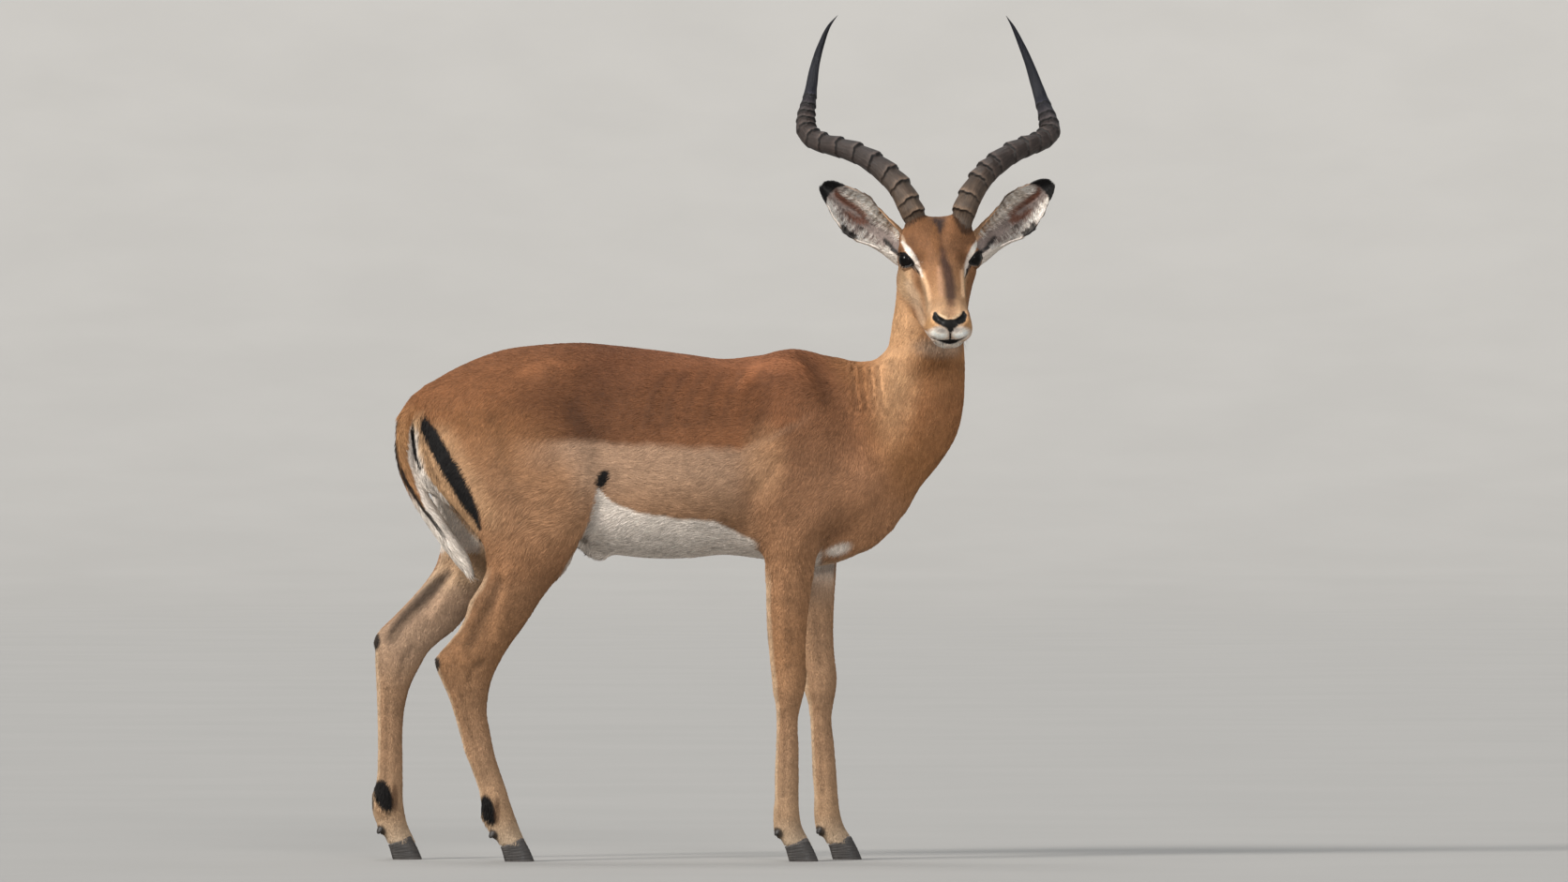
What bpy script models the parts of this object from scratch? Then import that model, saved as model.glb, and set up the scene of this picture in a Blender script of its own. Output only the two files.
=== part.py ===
"""A standing male impala, life size, as a museum model: the solids.

Lengths are metres. The shape is worked out in a design frame: x forward, y to the animal's
left, z up from the floor, and moved at the end so that the origin is the middle of the floor
under the whole animal. The flesh is one smooth body described by its edges in sections
(across the body, down the legs and neck, along the head), with soft swellings for muscle and
bone. It is then parted into the named pieces by thin cuts.
"""
import math

import bmesh
import bpy
import numpy as np
from mathutils import Matrix, Vector

# ---------------------------------------------------------------- driving sizes
ORIGIN_X = 0.104            # middle of the animal's box in the design frame
ORIGIN_Y = -0.0494
GAP = 0.0003                # width of every cut between two pieces
LEG_CUT = 0.503             # height at which the legs leave the trunk
KNEE_CUT = 0.292            # through the carpus of the forelegs
HOCK_CUT = 0.345            # under the hock of the hind legs
CORONET = 0.034             # height of the hoof's top edge, at its middle
CORONET_SLOPE = 0.30        # the hoof is taller in front
SWAY_FRONT = (0.078, 0.075)  # the left foreleg stands ahead: shift at the floor, less per metre
EYES = np.array((0.4995, -0.085, 1.060))   # midway between the eyes
YAW = math.radians(6.5)     # the face looks to the animal's right, turned this much forward
PITCH = math.radians(30.0)  # nose down
ROLL = math.radians(1.5)
EYE_SIDE, EYE_RADIUS = 0.0495, 0.0185
BODY_TRIANGLES, HEAD_TRIANGLES = 3500, 700

# Sections of the foreleg: height, rear edge, front edge, distance from mid plane, half width
FORE = [(0.880, 0.205, 0.262, 0.030, 0.018), (0.840, 0.195, 0.290, 0.046, 0.030),
        (0.780, 0.188, 0.325, 0.058, 0.038), (0.720, 0.176, 0.362, 0.064, 0.043),
        (0.660, 0.164, 0.378, 0.068, 0.044), (0.610, 0.165, 0.345, 0.072, 0.043),
        (0.570, 0.178, 0.298, 0.074, 0.039), (0.540, 0.189, 0.284, 0.073, 0.036),
        (0.500, 0.192, 0.277, 0.072, 0.033), (0.450, 0.195, 0.270, 0.070, 0.029),
        (0.400, 0.198, 0.265, 0.069, 0.0265), (0.360, 0.203, 0.263, 0.068, 0.0255),
        (0.320, 0.206, 0.264, 0.068, 0.0270), (0.300, 0.2075, 0.261, 0.068, 0.0265),
        (0.280, 0.212, 0.256, 0.068, 0.0230), (0.255, 0.214, 0.250, 0.068, 0.0185),
        (0.200, 0.213, 0.250, 0.068, 0.0165), (0.150, 0.211, 0.250, 0.068, 0.0162),
        (0.110, 0.2095, 0.250, 0.068, 0.0178), (0.085, 0.2075, 0.251, 0.0685, 0.0200),
        (0.060, 0.209, 0.256, 0.069, 0.0195), (0.040, 0.219, 0.267, 0.070, 0.0192),
        (0.015, 0.232, 0.281, 0.071, 0.0200)]
# Right hind leg, standing under the body
HIND_RIGHT = [(0.880, -0.240, -0.150, 0.034, 0.020), (0.840, -0.330, -0.138, 0.046, 0.036),
              (0.780, -0.385, -0.126, 0.056, 0.047), (0.740, -0.400, -0.118, 0.061, 0.051),
              (0.700, -0.402, -0.109, 0.067, 0.053), (0.640, -0.371, -0.106, 0.074, 0.052),
              (0.600, -0.337, -0.118, 0.079, 0.048), (0.560, -0.307, -0.136, 0.081, 0.044),
              (0.510, -0.300, -0.161, 0.081, 0.038), (0.485, -0.311, -0.183, 0.080, 0.035),
              (0.460, -0.327, -0.202, 0.0795, 0.031), (0.430, -0.337, -0.221, 0.079, 0.0275),
              (0.405, -0.350, -0.238, 0.078, 0.0250), (0.385, -0.366, -0.253, 0.078, 0.0242),
              (0.355, -0.388, -0.273, 0.0775, 0.0245), (0.340, -0.386, -0.281, 0.077, 0.0245),
              (0.315, -0.376, -0.291, 0.077, 0.0235), (0.290, -0.365, -0.296, 0.077, 0.0215),
              (0.260, -0.355, -0.298, 0.077, 0.0190), (0.225, -0.345, -0.292, 0.077, 0.0175),
              (0.190, -0.335, -0.285, 0.077, 0.0170), (0.160, -0.323, -0.276, 0.077, 0.0168),
              (0.130, -0.312, -0.266, 0.0775, 0.0178), (0.100, -0.306, -0.257, 0.078, 0.0198),
              (0.080, -0.303, -0.250, 0.0785, 0.0198), (0.058, -0.292, -0.242, 0.079, 0.0192),
              (0.040, -0.282, -0.233, 0.080, 0.0192), (0.015, -0.268, -0.219, 0.080, 0.0200)]
# Left hind leg, standing further back
HIND_LEFT = [(0.880, -0.240, -0.155, 0.034, 0.020), (0.840, -0.335, -0.148, 0.046, 0.036),
             (0.780, -0.388, -0.140, 0.056, 0.047), (0.740, -0.404, -0.137, 0.061, 0.051),
             (0.700, -0.406, -0.136, 0.067, 0.053), (0.640, -0.397, -0.148, 0.073, 0.052),
             (0.600, -0.389, -0.172, 0.078, 0.048), (0.560, -0.383, -0.205, 0.080, 0.044),
             (0.510, -0.397, -0.252, 0.081, 0.038), (0.485, -0.415, -0.282, 0.080, 0.0350),
             (0.460, -0.437, -0.308, 0.0795, 0.0310), (0.430, -0.466, -0.336, 0.079, 0.0272),
             (0.405, -0.491, -0.358, 0.078, 0.0250), (0.390, -0.500, -0.377, 0.078, 0.0245),
             (0.370, -0.499, -0.400, 0.0775, 0.0245), (0.340, -0.497, -0.420, 0.077, 0.0240),
             (0.310, -0.4955, -0.435, 0.077, 0.0225), (0.270, -0.494, -0.446, 0.077, 0.0195),
             (0.230, -0.493, -0.450, 0.077, 0.0175), (0.180, -0.493, -0.450, 0.077, 0.0168),
             (0.140, -0.4945, -0.450, 0.077, 0.0172), (0.105, -0.502, -0.450, 0.078, 0.0198),
             (0.080, -0.500, -0.447, 0.0785, 0.0198), (0.060, -0.492, -0.442, 0.079, 0.0192),
             (0.040, -0.481, -0.432, 0.080, 0.0192), (0.015, -0.470, -0.420, 0.080, 0.0200)]
# Trunk: place along the body, belly, widest height, back, half width, squareness
TRUNK = [(-0.432, 0.705, 0.765, 0.810, 0.018, 2.0), (-0.420, 0.672, 0.765, 0.830, 0.042, 2.0),
         (-0.385, 0.640, 0.762, 0.852, 0.070, 2.0), (-0.340, 0.612, 0.755, 0.876, 0.088, 2.0),
         (-0.280, 0.587, 0.745, 0.899, 0.099, 2.0), (-0.200, 0.566, 0.730, 0.911, 0.107, 2.0),
         (-0.130, 0.552, 0.715, 0.914, 0.113, 2.1), (-0.080, 0.541, 0.705, 0.910, 0.119, 2.2),
         (0.000, 0.533, 0.695, 0.901, 0.128, 2.2), (0.060, 0.534, 0.690, 0.893, 0.132, 2.2),
         (0.120, 0.539, 0.690, 0.886, 0.127, 2.2), (0.180, 0.533, 0.695, 0.892, 0.113, 2.1),
         (0.250, 0.525, 0.700, 0.902, 0.098, 2.0), (0.300, 0.530, 0.705, 0.889, 0.092, 1.9),
         (0.350, 0.550, 0.710, 0.866, 0.084, 1.9), (0.400, 0.580, 0.715, 0.830, 0.070, 2.0),
         (0.435, 0.630, 0.725, 0.780, 0.045, 2.0)]
# Neck: height, nape edge, throat edge, middle across, half width
NECK = [(0.600, 0.310, 0.412, 0.000, 0.050), (0.650, 0.280, 0.455, 0.000, 0.064),
        (0.700, 0.290, 0.500, 0.000, 0.071), (0.750, 0.300, 0.530, 0.000, 0.072),
        (0.800, 0.320, 0.542, 0.000, 0.070), (0.845, 0.345, 0.545, 0.000, 0.068),
        (0.880, 0.385, 0.545, 0.000, 0.066), (0.900, 0.402, 0.544, 0.000, 0.064),
        (0.930, 0.411, 0.543, -0.002, 0.062), (0.960, 0.417, 0.543, -0.005, 0.060),
        (1.000, 0.424, 0.545, -0.012, 0.058), (1.045, 0.432, 0.548, -0.026, 0.055)]
# Head: place ahead of the eyes, half width, jaw, widest height, forehead and nose, squareness
HEAD = [(-0.112, 0.036, -0.035, 0.000, 0.018, 2.0), (-0.092, 0.050, -0.060, -0.002, 0.032, 2.1),
        (-0.068, 0.057, -0.080, -0.004, 0.045, 2.2), (-0.040, 0.059, -0.090, -0.010, 0.050, 2.2),
        (-0.010, 0.055, -0.092, -0.020, 0.046, 2.2), (0.025, 0.049, -0.088, -0.030, 0.037, 2.2),
        (0.060, 0.042, -0.082, -0.034, 0.024, 2.2), (0.095, 0.036, -0.077, -0.037, 0.011, 2.2),
        (0.130, 0.034, -0.074, -0.040, -0.001, 2.2), (0.155, 0.037, -0.072, -0.044, -0.010, 2.3),
        (0.172, 0.037, -0.070, -0.046, -0.016, 2.3), (0.184, 0.032, -0.063, -0.046, -0.022, 2.2)]
# Lower jaw, in the same places
JAW = [(-0.050, 0.030, -0.092, -0.075, -0.050, 2.0), (0.000, 0.032, -0.097, -0.078, -0.055, 2.0),
       (0.060, 0.026, -0.092, -0.076, -0.055, 2.0), (0.110, 0.023, -0.088, -0.072, -0.055, 2.0),
       (0.145, 0.025, -0.091, -0.073, -0.055, 2.2), (0.164, 0.022, -0.085, -0.071, -0.057, 2.2)]
# Swellings and hollows of the body, both sides: line, reach, height
BODY_SWELLS = [([(0.225, 0.050, 0.885), (0.300, 0.085, 0.740)], 0.030, 0.006),
               ([(0.225, 0.100, 0.745), (0.205, 0.112, 0.640)], 0.045, 0.009),
               ([(0.158, 0.100, 0.585), (0.172, 0.114, 0.640), (0.215, 0.112, 0.700)], 0.013, -0.004),
               ([(0.375, 0.075, 0.670)], 0.045, 0.010),
               ([(0.310, 0.110, 0.640), (0.250, 0.112, 0.560)], 0.028, 0.004),
               ([(0.385, 0.075, 0.740), (0.470, 0.062, 0.850)], 0.025, -0.004),
               ([(-0.165, 0.078, 0.868)], 0.035, 0.008),
               ([(-0.085, 0.108, 0.820)], 0.055, -0.010),
               ([(-0.125, 0.120, 0.680), (-0.145, 0.118, 0.600)], 0.035, 0.006),
               ([(-0.060, 0.120, 0.650)], 0.045, -0.006),
               ([(-0.395, 0.052, 0.800)], 0.032, 0.006),
               ([(-0.350, 0.105, 0.760), (-0.330, 0.115, 0.660), (-0.300, 0.110, 0.580)], 0.014, -0.003)]
# The same for the face, in the head's own places
FACE_SWELLS = [([(-0.024, 0.050, 0.022), (0.014, 0.050, 0.020)], 0.016, 0.011),
               ([(-0.018, 0.056, -0.022), (0.014, 0.052, -0.020)], 0.014, 0.006),
               ([(-0.028, 0.056, 0.000)], 0.016, 0.009),
               ([(-0.030, 0.050, -0.055)], 0.036, 0.005),
               ([(-0.043, 0.039, 0.045), (-0.050, 0.044, 0.075)], 0.028, 0.018),
               ([(-0.078, 0.056, 0.000), (-0.078, 0.068, 0.005)], 0.024, 0.010),
               ([(0.150, 0.022, -0.022), (0.178, 0.020, -0.030)], 0.014, 0.004),
               ([(0.130, 0.034, -0.062), (0.166, 0.026, -0.062)], 0.015, 0.004)]
# Dewclaws: rear of each foot, height, and how they stand out on both sides of its middle
DEWCLAWS = [(0.214, -0.069, 0.050), (0.288, 0.069, 0.050), (-0.288, -0.079, 0.046), (-0.489, 0.079, 0.050)]
DEWCLAW_SPREAD, DEWCLAW_REACH, DEWCLAW_HEIGHT = 0.012, 0.009, 0.006
SHEATH = ([(-0.095, 0.000, 0.535)], 0.024, 0.012)

# Horns: place forward, across and up of the middle line, radius; the rings stop at HORN_SMOOTH
HORN_RIGHT = [(0.4650, -0.075, 1.106, 0.0215), (0.4565, -0.070, 1.130, 0.0215),
              (0.4400, -0.062, 1.165, 0.0208), (0.4250, -0.052, 1.190, 0.0200),
              (0.4050, -0.038, 1.212, 0.0195), (0.3830, -0.024, 1.230, 0.0188),
              (0.3600, -0.008, 1.244, 0.0180), (0.3300, 0.010, 1.256, 0.0172),
              (0.3000, 0.030, 1.264, 0.0165), (0.2770, 0.047, 1.274, 0.0160),
              (0.2640, 0.062, 1.291, 0.0152), (0.2640, 0.077, 1.315, 0.0138),
              (0.2690, 0.089, 1.340, 0.0125), (0.2730, 0.098, 1.365, 0.0112),
              (0.2790, 0.104, 1.400, 0.0090), (0.2900, 0.106, 1.440, 0.0064),
              (0.3050, 0.102, 1.475, 0.0036), (0.3200, 0.096, 1.494, 0.0010)]
HORN_LEFT = [(0.5350, -0.075, 1.109, 0.0215), (0.5400, -0.070, 1.133, 0.0215),
             (0.5510, -0.062, 1.165, 0.0208), (0.5650, -0.052, 1.190, 0.0200),
             (0.5840, -0.038, 1.214, 0.0195), (0.6080, -0.024, 1.235, 0.0188),
             (0.6320, -0.008, 1.250, 0.0180), (0.6590, 0.010, 1.262, 0.0172),
             (0.6820, 0.030, 1.272, 0.0165), (0.6950, 0.047, 1.286, 0.0160),
             (0.6930, 0.062, 1.305, 0.0148), (0.6870, 0.077, 1.325, 0.0136),
             (0.6800, 0.089, 1.345, 0.0124), (0.6730, 0.098, 1.368, 0.0112),
             (0.6620, 0.104, 1.400, 0.0090), (0.6460, 0.106, 1.440, 0.0064),
             (0.6300, 0.102, 1.474, 0.0036), (0.6180, 0.096, 1.493, 0.0010)]
HORN_RINGS, HORN_RING_END, HORN_RING_HEIGHT = 14, 0.62, 0.0024
HORN_SIDES = 10

# Ears: base and tip, half width along the length, in the design frame
EAR_RIGHT = ((0.4380, -0.040, 1.078), (0.2920, -0.024, 1.190))
EAR_LEFT = ((0.5660, -0.032, 1.082), (0.7000, -0.016, 1.194))
EAR_HALF_WIDTH = [(0.0, 0.0260), (0.12, 0.0265), (0.25, 0.0290), (0.40, 0.0345), (0.55, 0.0375),
                  (0.70, 0.0350), (0.85, 0.0270), (0.95, 0.0175), (1.0, 0.0095)]
EAR_CURL = [(0.0, 150.0), (0.2, 118.0), (0.5, 78.0), (0.8, 58.0), (1.0, 45.0)]
EAR_THICK = 0.0032

# Tail: middle line and half sizes across and through
TAIL = [(-0.385, 0.000, 0.822, 0.021, 0.016), (-0.412, 0.000, 0.810, 0.021, 0.016),
        (-0.435, 0.000, 0.785, 0.019, 0.015), (-0.446, 0.000, 0.745, 0.018, 0.014),
        (-0.441, 0.000, 0.695, 0.019, 0.014), (-0.418, -0.001, 0.640, 0.021, 0.014),
        (-0.383, -0.003, 0.585, 0.022, 0.014), (-0.349, -0.005, 0.535, 0.016, 0.012),
        (-0.326, -0.006, 0.498, 0.006, 0.005)]

# Hooves: middle of each foot at the floor, and how the claws are shaped
FEET = {"front_right": (0.2600, -0.071), "front_left": (0.3370, 0.071),
        "hind_right": (-0.2400, -0.080), "hind_left": (-0.4410, 0.080)}
CLAW_LENGTH, CLAW_WIDTH, CLAW_SPLIT = 0.0520, 0.0190, 0.0014

COLOURS = {"coat": (0.33, 0.16, 0.07), "coat_dark": (0.22, 0.09, 0.035), "leg": (0.30, 0.18, 0.10),
           "face": (0.36, 0.17, 0.07), "horn": (0.06, 0.045, 0.038), "hoof": (0.02, 0.018, 0.017),
           "eye": (0.008, 0.005, 0.004), "ear": (0.30, 0.20, 0.14), "tail": (0.34, 0.22, 0.13)}


# ---------------------------------------------------------------- smooth solids
def smooth_min(a, b, k):
    h = np.clip(0.5 + 0.5 * (b - a) / k, 0.0, 1.0)
    return b + (a - b) * h - k * h * (1.0 - h)


def head_axes():
    level = np.array((math.sin(YAW), -math.cos(YAW), 0.0))
    up = np.array((0.0, 0.0, 1.0))
    left = np.cross(up, level)
    tilted_up = up * math.cos(ROLL) - left * math.sin(ROLL)
    tilted_left = left * math.cos(ROLL) + up * math.sin(ROLL)
    ahead = level * math.cos(PITCH) - tilted_up * math.sin(PITCH)
    top = level * math.sin(PITCH) + tilted_up * math.cos(PITCH)
    return ahead, tilted_left, top


AHEAD, LEFTWARD, TOPWARD = head_axes()


def from_head(f, s, u):
    """Design place of a head place: forward of the eyes, to the animal's left, above."""
    return EYES + f * AHEAD + s * LEFTWARD + u * TOPWARD


def along_axis(p, axis):
    if axis == "up":
        return p[:, 2], p[:, 0], p[:, 1]
    if axis == "along":
        return p[:, 0], p[:, 1], p[:, 2]
    q = p - EYES
    return q @ AHEAD, q @ LEFTWARD, q @ TOPWARD


def smooth_table(rows, count=160):
    """A smooth curve through rows, by their first column."""
    rows = np.asarray(sorted(tuple(r) for r in rows), float)
    t = rows[:, 0]
    gap = np.diff(t)[:, None]
    slope = np.diff(rows, axis=0) / gap
    lean = np.empty_like(rows)
    lean[0] = slope[0]
    lean[-1] = slope[-1]
    lean[1:-1] = (slope[:-1] * gap[1:] + slope[1:] * gap[:-1]) / (gap[1:] + gap[:-1])
    x = np.linspace(t[0], t[-1], count)
    i = np.clip(np.searchsorted(t, x) - 1, 0, len(gap) - 1)
    h = gap[i]
    u = ((x - t[i]) / h[:, 0])[:, None]
    first = (2 * u ** 3 - 3 * u ** 2 + 1) * rows[i] + (u ** 3 - 2 * u ** 2 + u) * lean[i] * h
    second = (3 * u ** 2 - 2 * u ** 3) * rows[i + 1] + (u ** 3 - u ** 2) * lean[i + 1] * h
    return first + second


class Stack:
    """A solid given by its edges in sections across one axis. Rows hold the place, then low,
    middle and high edge in one direction, the same in the other, and the squareness."""

    def __init__(self, axis, rows, blend, cap):
        curve = smooth_table(rows)
        self.axis, self.blend, self.cap = axis, blend, cap
        self.t = curve[:, 0]
        a0, am, a1, b0, bm, b1, power = curve[:, 1:].T
        self.shape = np.stack([am, bm, am - a0, a1 - am, bm - b0, b1 - bm, power], 1)
        self.slope = np.gradient(self.shape, self.t, axis=0)
        corner = np.concatenate([np.stack([self.t, a, b], 1) for a in (a0, a1) for b in (b0, b1)])
        if axis == "up":
            corner = corner[:, [1, 2, 0]]
        elif axis == "head":
            corner = EYES + corner[:, :1] * AHEAD + corner[:, 1:2] * LEFTWARD + corner[:, 2:] * TOPWARD
        self.low = corner.min(0) - blend - 0.012
        self.high = corner.max(0) + blend + 0.012

    def distance(self, p):
        t, a, b = along_axis(p, self.axis)
        held = np.clip(t, self.t[0], self.t[-1])
        now = [np.interp(held, self.t, self.shape[:, i]) for i in range(7)]
        rate = [np.interp(held, self.t, self.slope[:, i]) for i in range(6)]
        qa, qb = a - now[0], b - now[1]
        ra = np.maximum(np.where(qa < 0, now[2], now[3]), 1e-4)
        rb = np.maximum(np.where(qb < 0, now[4], now[5]), 1e-4)
        grow_a = np.where(qa < 0, rate[2], rate[3])
        grow_b = np.where(qb < 0, rate[4], rate[5])
        ea = np.abs(qa / ra) ** now[6]
        eb = np.abs(qb / rb) ** now[6]
        total = np.maximum(ea + eb, 1e-9)
        share = total ** (1 / now[6])
        length = np.sqrt(qa * qa + qb * qb)
        reach = np.where(share > 0.05, length / np.maximum(share, 1e-6), np.minimum(ra, rb))
        safe = np.maximum(length, 1e-6)
        lean = (rate[0] * qa + rate[1] * qb) / safe
        lean = lean + reach * (ea * grow_a / ra + eb * grow_b / rb) / total
        across = (length - reach) / np.sqrt(1 + lean * lean) + self.cap
        past = np.maximum(self.t[0] - t, t - self.t[-1]) + self.cap
        outside = np.sqrt(np.maximum(across, 0) ** 2 + np.maximum(past, 0) ** 2)
        return np.minimum(np.maximum(across, past), 0) + outside - self.cap


class Swell:
    """A soft swelling along a line, or a hollow when its height is negative."""

    def __init__(self, line, reach, height):
        self.line = np.asarray(line, float)
        self.reach, self.height = reach, height
        self.low = self.line.min(0) - 2.2 * reach
        self.high = self.line.max(0) + 2.2 * reach

    def amount(self, p):
        near = ((p - self.line[0]) ** 2).sum(1)
        for a, b in zip(self.line[:-1], self.line[1:]):
            ab = b - a
            u = np.clip(((p - a) @ ab) / (ab @ ab), 0, 1)
            near = np.minimum(near, ((p - a - u[:, None] * ab) ** 2).sum(1))
        fade = np.clip((2.2 - np.sqrt(near) / self.reach) * 2, 0, 1)
        return self.height * np.exp(-near / self.reach ** 2) * fade


def leg_stack(rows, side, blend=0.035, sway=(0.0, 0.0)):
    out = []
    for z, rear, front, y, half in rows:
        dx = sway[0] - sway[1] * z if sway[0] else 0.0
        middle = side * y
        out.append((z, rear + dx, (rear + front) / 2 + dx, front + dx, middle - half, middle, middle + half, 2.0))
    return Stack("up", out, blend, 0.012)


def flesh():
    masses = [Stack("along", [(x, -h, 0, h, z0, zm, z1, n) for x, z0, zm, z1, h, n in TRUNK], 0.035, 0.02)]
    neck = [(z, r, (r + f) / 2, f, y - h, y, y + h, 2.0) for z, r, f, y, h in NECK]
    masses.append(Stack("up", neck, 0.045, 0.02))
    masses.append(leg_stack(FORE, -1))
    masses.append(leg_stack(FORE, 1, sway=SWAY_FRONT))
    masses.append(leg_stack(HIND_RIGHT, -1))
    masses.append(leg_stack(HIND_LEFT, 1))
    head = [(f, -h, 0, h, u0, um, u1, n) for f, h, u0, um, u1, n in HEAD]
    masses.append(Stack("head", head, 0.025, 0.014))
    jaw = [(f, -h, 0, h, u0, um, u1, n) for f, h, u0, um, u1, n in JAW]
    masses.append(Stack("head", jaw, 0.015, 0.010))
    swells = [Swell(*SHEATH)]
    for x, y, z in DEWCLAWS:
        for side in (-DEWCLAW_SPREAD, DEWCLAW_SPREAD):
            line = [(x, y + side, z + 0.004), (x - 0.002, y + side, z - 0.004)]
            swells.append(Swell(line, DEWCLAW_REACH, DEWCLAW_HEIGHT))
    for line, reach, height in BODY_SWELLS:
        swells.append(Swell(line, reach, height))
        swells.append(Swell([(x, -y, z) for x, y, z in line], reach, height))
    for line, reach, height in FACE_SWELLS:
        swells.append(Swell([from_head(f, s, u) for f, s, u in line], reach, height))
        swells.append(Swell([from_head(f, -s, u) for f, s, u in line], reach, height))
    return masses, swells


def field(points, masses, swells):
    """Signed distance, roughly: below zero inside the flesh."""
    out = np.full(len(points), 1.0)
    for m in masses:
        inside = np.flatnonzero(((points > m.low) & (points < m.high)).all(1))
        if len(inside):
            out[inside] = smooth_min(out[inside], m.distance(points[inside]), m.blend)
    for w in swells:
        inside = np.flatnonzero(((points > w.low) & (points < w.high)).all(1) & (np.abs(out) < 0.05))
        if len(inside):
            out[inside] -= w.amount(points[inside])
    return out


def refine(value):
    """The same grid with twice as many steps each way."""
    for a in range(3):
        lower = [slice(None)] * 3
        upper = [slice(None)] * 3
        even = [slice(None)] * 3
        odd = [slice(None)] * 3
        lower[a], upper[a] = slice(0, -1), slice(1, None)
        even[a], odd[a] = slice(0, None, 2), slice(1, None, 2)
        shape = list(value.shape)
        shape[a] = 2 * value.shape[a] - 1
        finer = np.empty(shape)
        finer[tuple(even)] = value
        finer[tuple(odd)] = 0.5 * (value[tuple(lower)] + value[tuple(upper)])
        value = finer
    return value


def grid_values(low, high, step, masses, swells):
    """Field values on a grid, worked out only near the surface: coarse first, then finer."""
    counts = [int(math.ceil((b - a) / step / 4)) * 4 + 1 for a, b in zip(low, high)]
    value = None
    for coarse in (4, 2, 1):
        axes = [low[i] + step * coarse * np.arange((counts[i] - 1) // coarse + 1) for i in range(3)]
        if value is None:
            mesh = np.meshgrid(*axes, indexing="ij")
            points = np.stack([m.ravel() for m in mesh], 1)
            value = field(points, masses, swells).reshape(mesh[0].shape)
            continue
        value = refine(value)
        near = np.argwhere(np.abs(value) < step * coarse * 3.2)
        points = np.stack([axes[i][near[:, i]] for i in range(3)], 1)
        value[tuple(near.T)] = field(points, masses, swells)
    return axes, value


def surface_net(axes, value):
    """Quads around the zero level: one point in each cell that the surface crosses."""
    inside = value < 0
    n = value.shape
    corners = [(i, j, k) for i in (0, 1) for j in (0, 1) for k in (0, 1)]
    count = np.zeros([m - 1 for m in n], np.int8)
    for i, j, k in corners:
        count += inside[i:n[0] - 1 + i, j:n[1] - 1 + j, k:n[2] - 1 + k]
    crossed = (count > 0) & (count < 8)
    cells = np.argwhere(crossed)
    index = np.full(crossed.shape, -1, np.int64)
    index[crossed] = np.arange(len(cells))
    total = np.zeros((len(cells), 3))
    hits = np.zeros(len(cells))
    for a in range(3):
        others = [x for x in range(3) if x != a]
        for u in (0, 1):
            for v in (0, 1):
                start = np.zeros(3, np.int64)
                start[others[0]] = u
                start[others[1]] = v
                end = start.copy()
                end[a] = 1
                c0 = cells + start
                c1 = cells + end
                v0 = value[tuple(c0.T)]
                v1 = value[tuple(c1.T)]
                cross = (v0 < 0) != (v1 < 0)
                t = np.where(cross, v0 / np.where(cross, v0 - v1, 1), 0)
                p0 = np.stack([axes[x][c0[:, x]] for x in range(3)], 1)
                p1 = np.stack([axes[x][c1[:, x]] for x in range(3)], 1)
                total += np.where(cross[:, None], p0 + (p1 - p0) * t[:, None], 0)
                hits += cross
    quads = []
    for a in range(3):
        b, c = (a + 1) % 3, (a + 2) % 3
        lower = [slice(None)] * 3
        upper = [slice(None)] * 3
        lower[a], upper[a] = slice(0, -1), slice(1, None)
        edge = np.argwhere(inside[tuple(lower)] != inside[tuple(upper)])
        keep = (edge[:, b] > 0) & (edge[:, c] > 0) & (edge[:, b] < n[b] - 1) & (edge[:, c] < n[c] - 1)
        edge = edge[keep]
        from_inside = inside[tuple(edge.T)]
        ring = []
        for db, dc in ((-1, -1), (0, -1), (0, 0), (-1, 0)):
            q = edge.copy()
            q[:, b] += db
            q[:, c] += dc
            ring.append(index[tuple(q.T)])
        ring = np.stack(ring, 1)
        ring[~from_inside] = ring[~from_inside][:, ::-1]
        quads.append(ring)
    return total / hits[:, None], np.concatenate(quads)


# ---------------------------------------------------------------- Meshes and cuts
def clear_scene():
    for ob in list(bpy.data.objects):
        bpy.data.objects.remove(ob, do_unlink=True)


def material(name, colour, roughness):
    mat = bpy.data.materials.new(name)
    mat.use_nodes = True
    shader = mat.node_tree.nodes["Principled BSDF"]
    shader.inputs["Base Color"].default_value = (*colour, 1.0)
    shader.inputs["Roughness"].default_value = roughness
    mat.diffuse_color = (*colour, 1.0)
    return mat


def add_object(name, mesh):
    ob = bpy.data.objects.new(name, mesh)
    bpy.context.scene.collection.objects.link(ob)
    return ob


def from_points(name, points, faces):
    mesh = bpy.data.meshes.new(name)
    mesh.from_pydata([tuple(p) for p in points], [], [tuple(f) for f in faces])
    mesh.update()
    return add_object(name, mesh)


def settle(ob):
    """Replace an object's mesh by what its modifiers make of it."""
    graph = bpy.context.evaluated_depsgraph_get()
    mesh = bpy.data.meshes.new_from_object(ob.evaluated_get(graph))
    ob.modifiers.clear()
    old = ob.data
    ob.data = mesh
    bpy.data.meshes.remove(old)


def thin_out(ob, triangles):
    """Fewer triangles, same shape."""
    now = sum(len(p.vertices) - 2 for p in ob.data.polygons)
    mod = ob.modifiers.new("fewer", "DECIMATE")
    mod.ratio = min(1.0, triangles / now)
    settle(ob)


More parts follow.
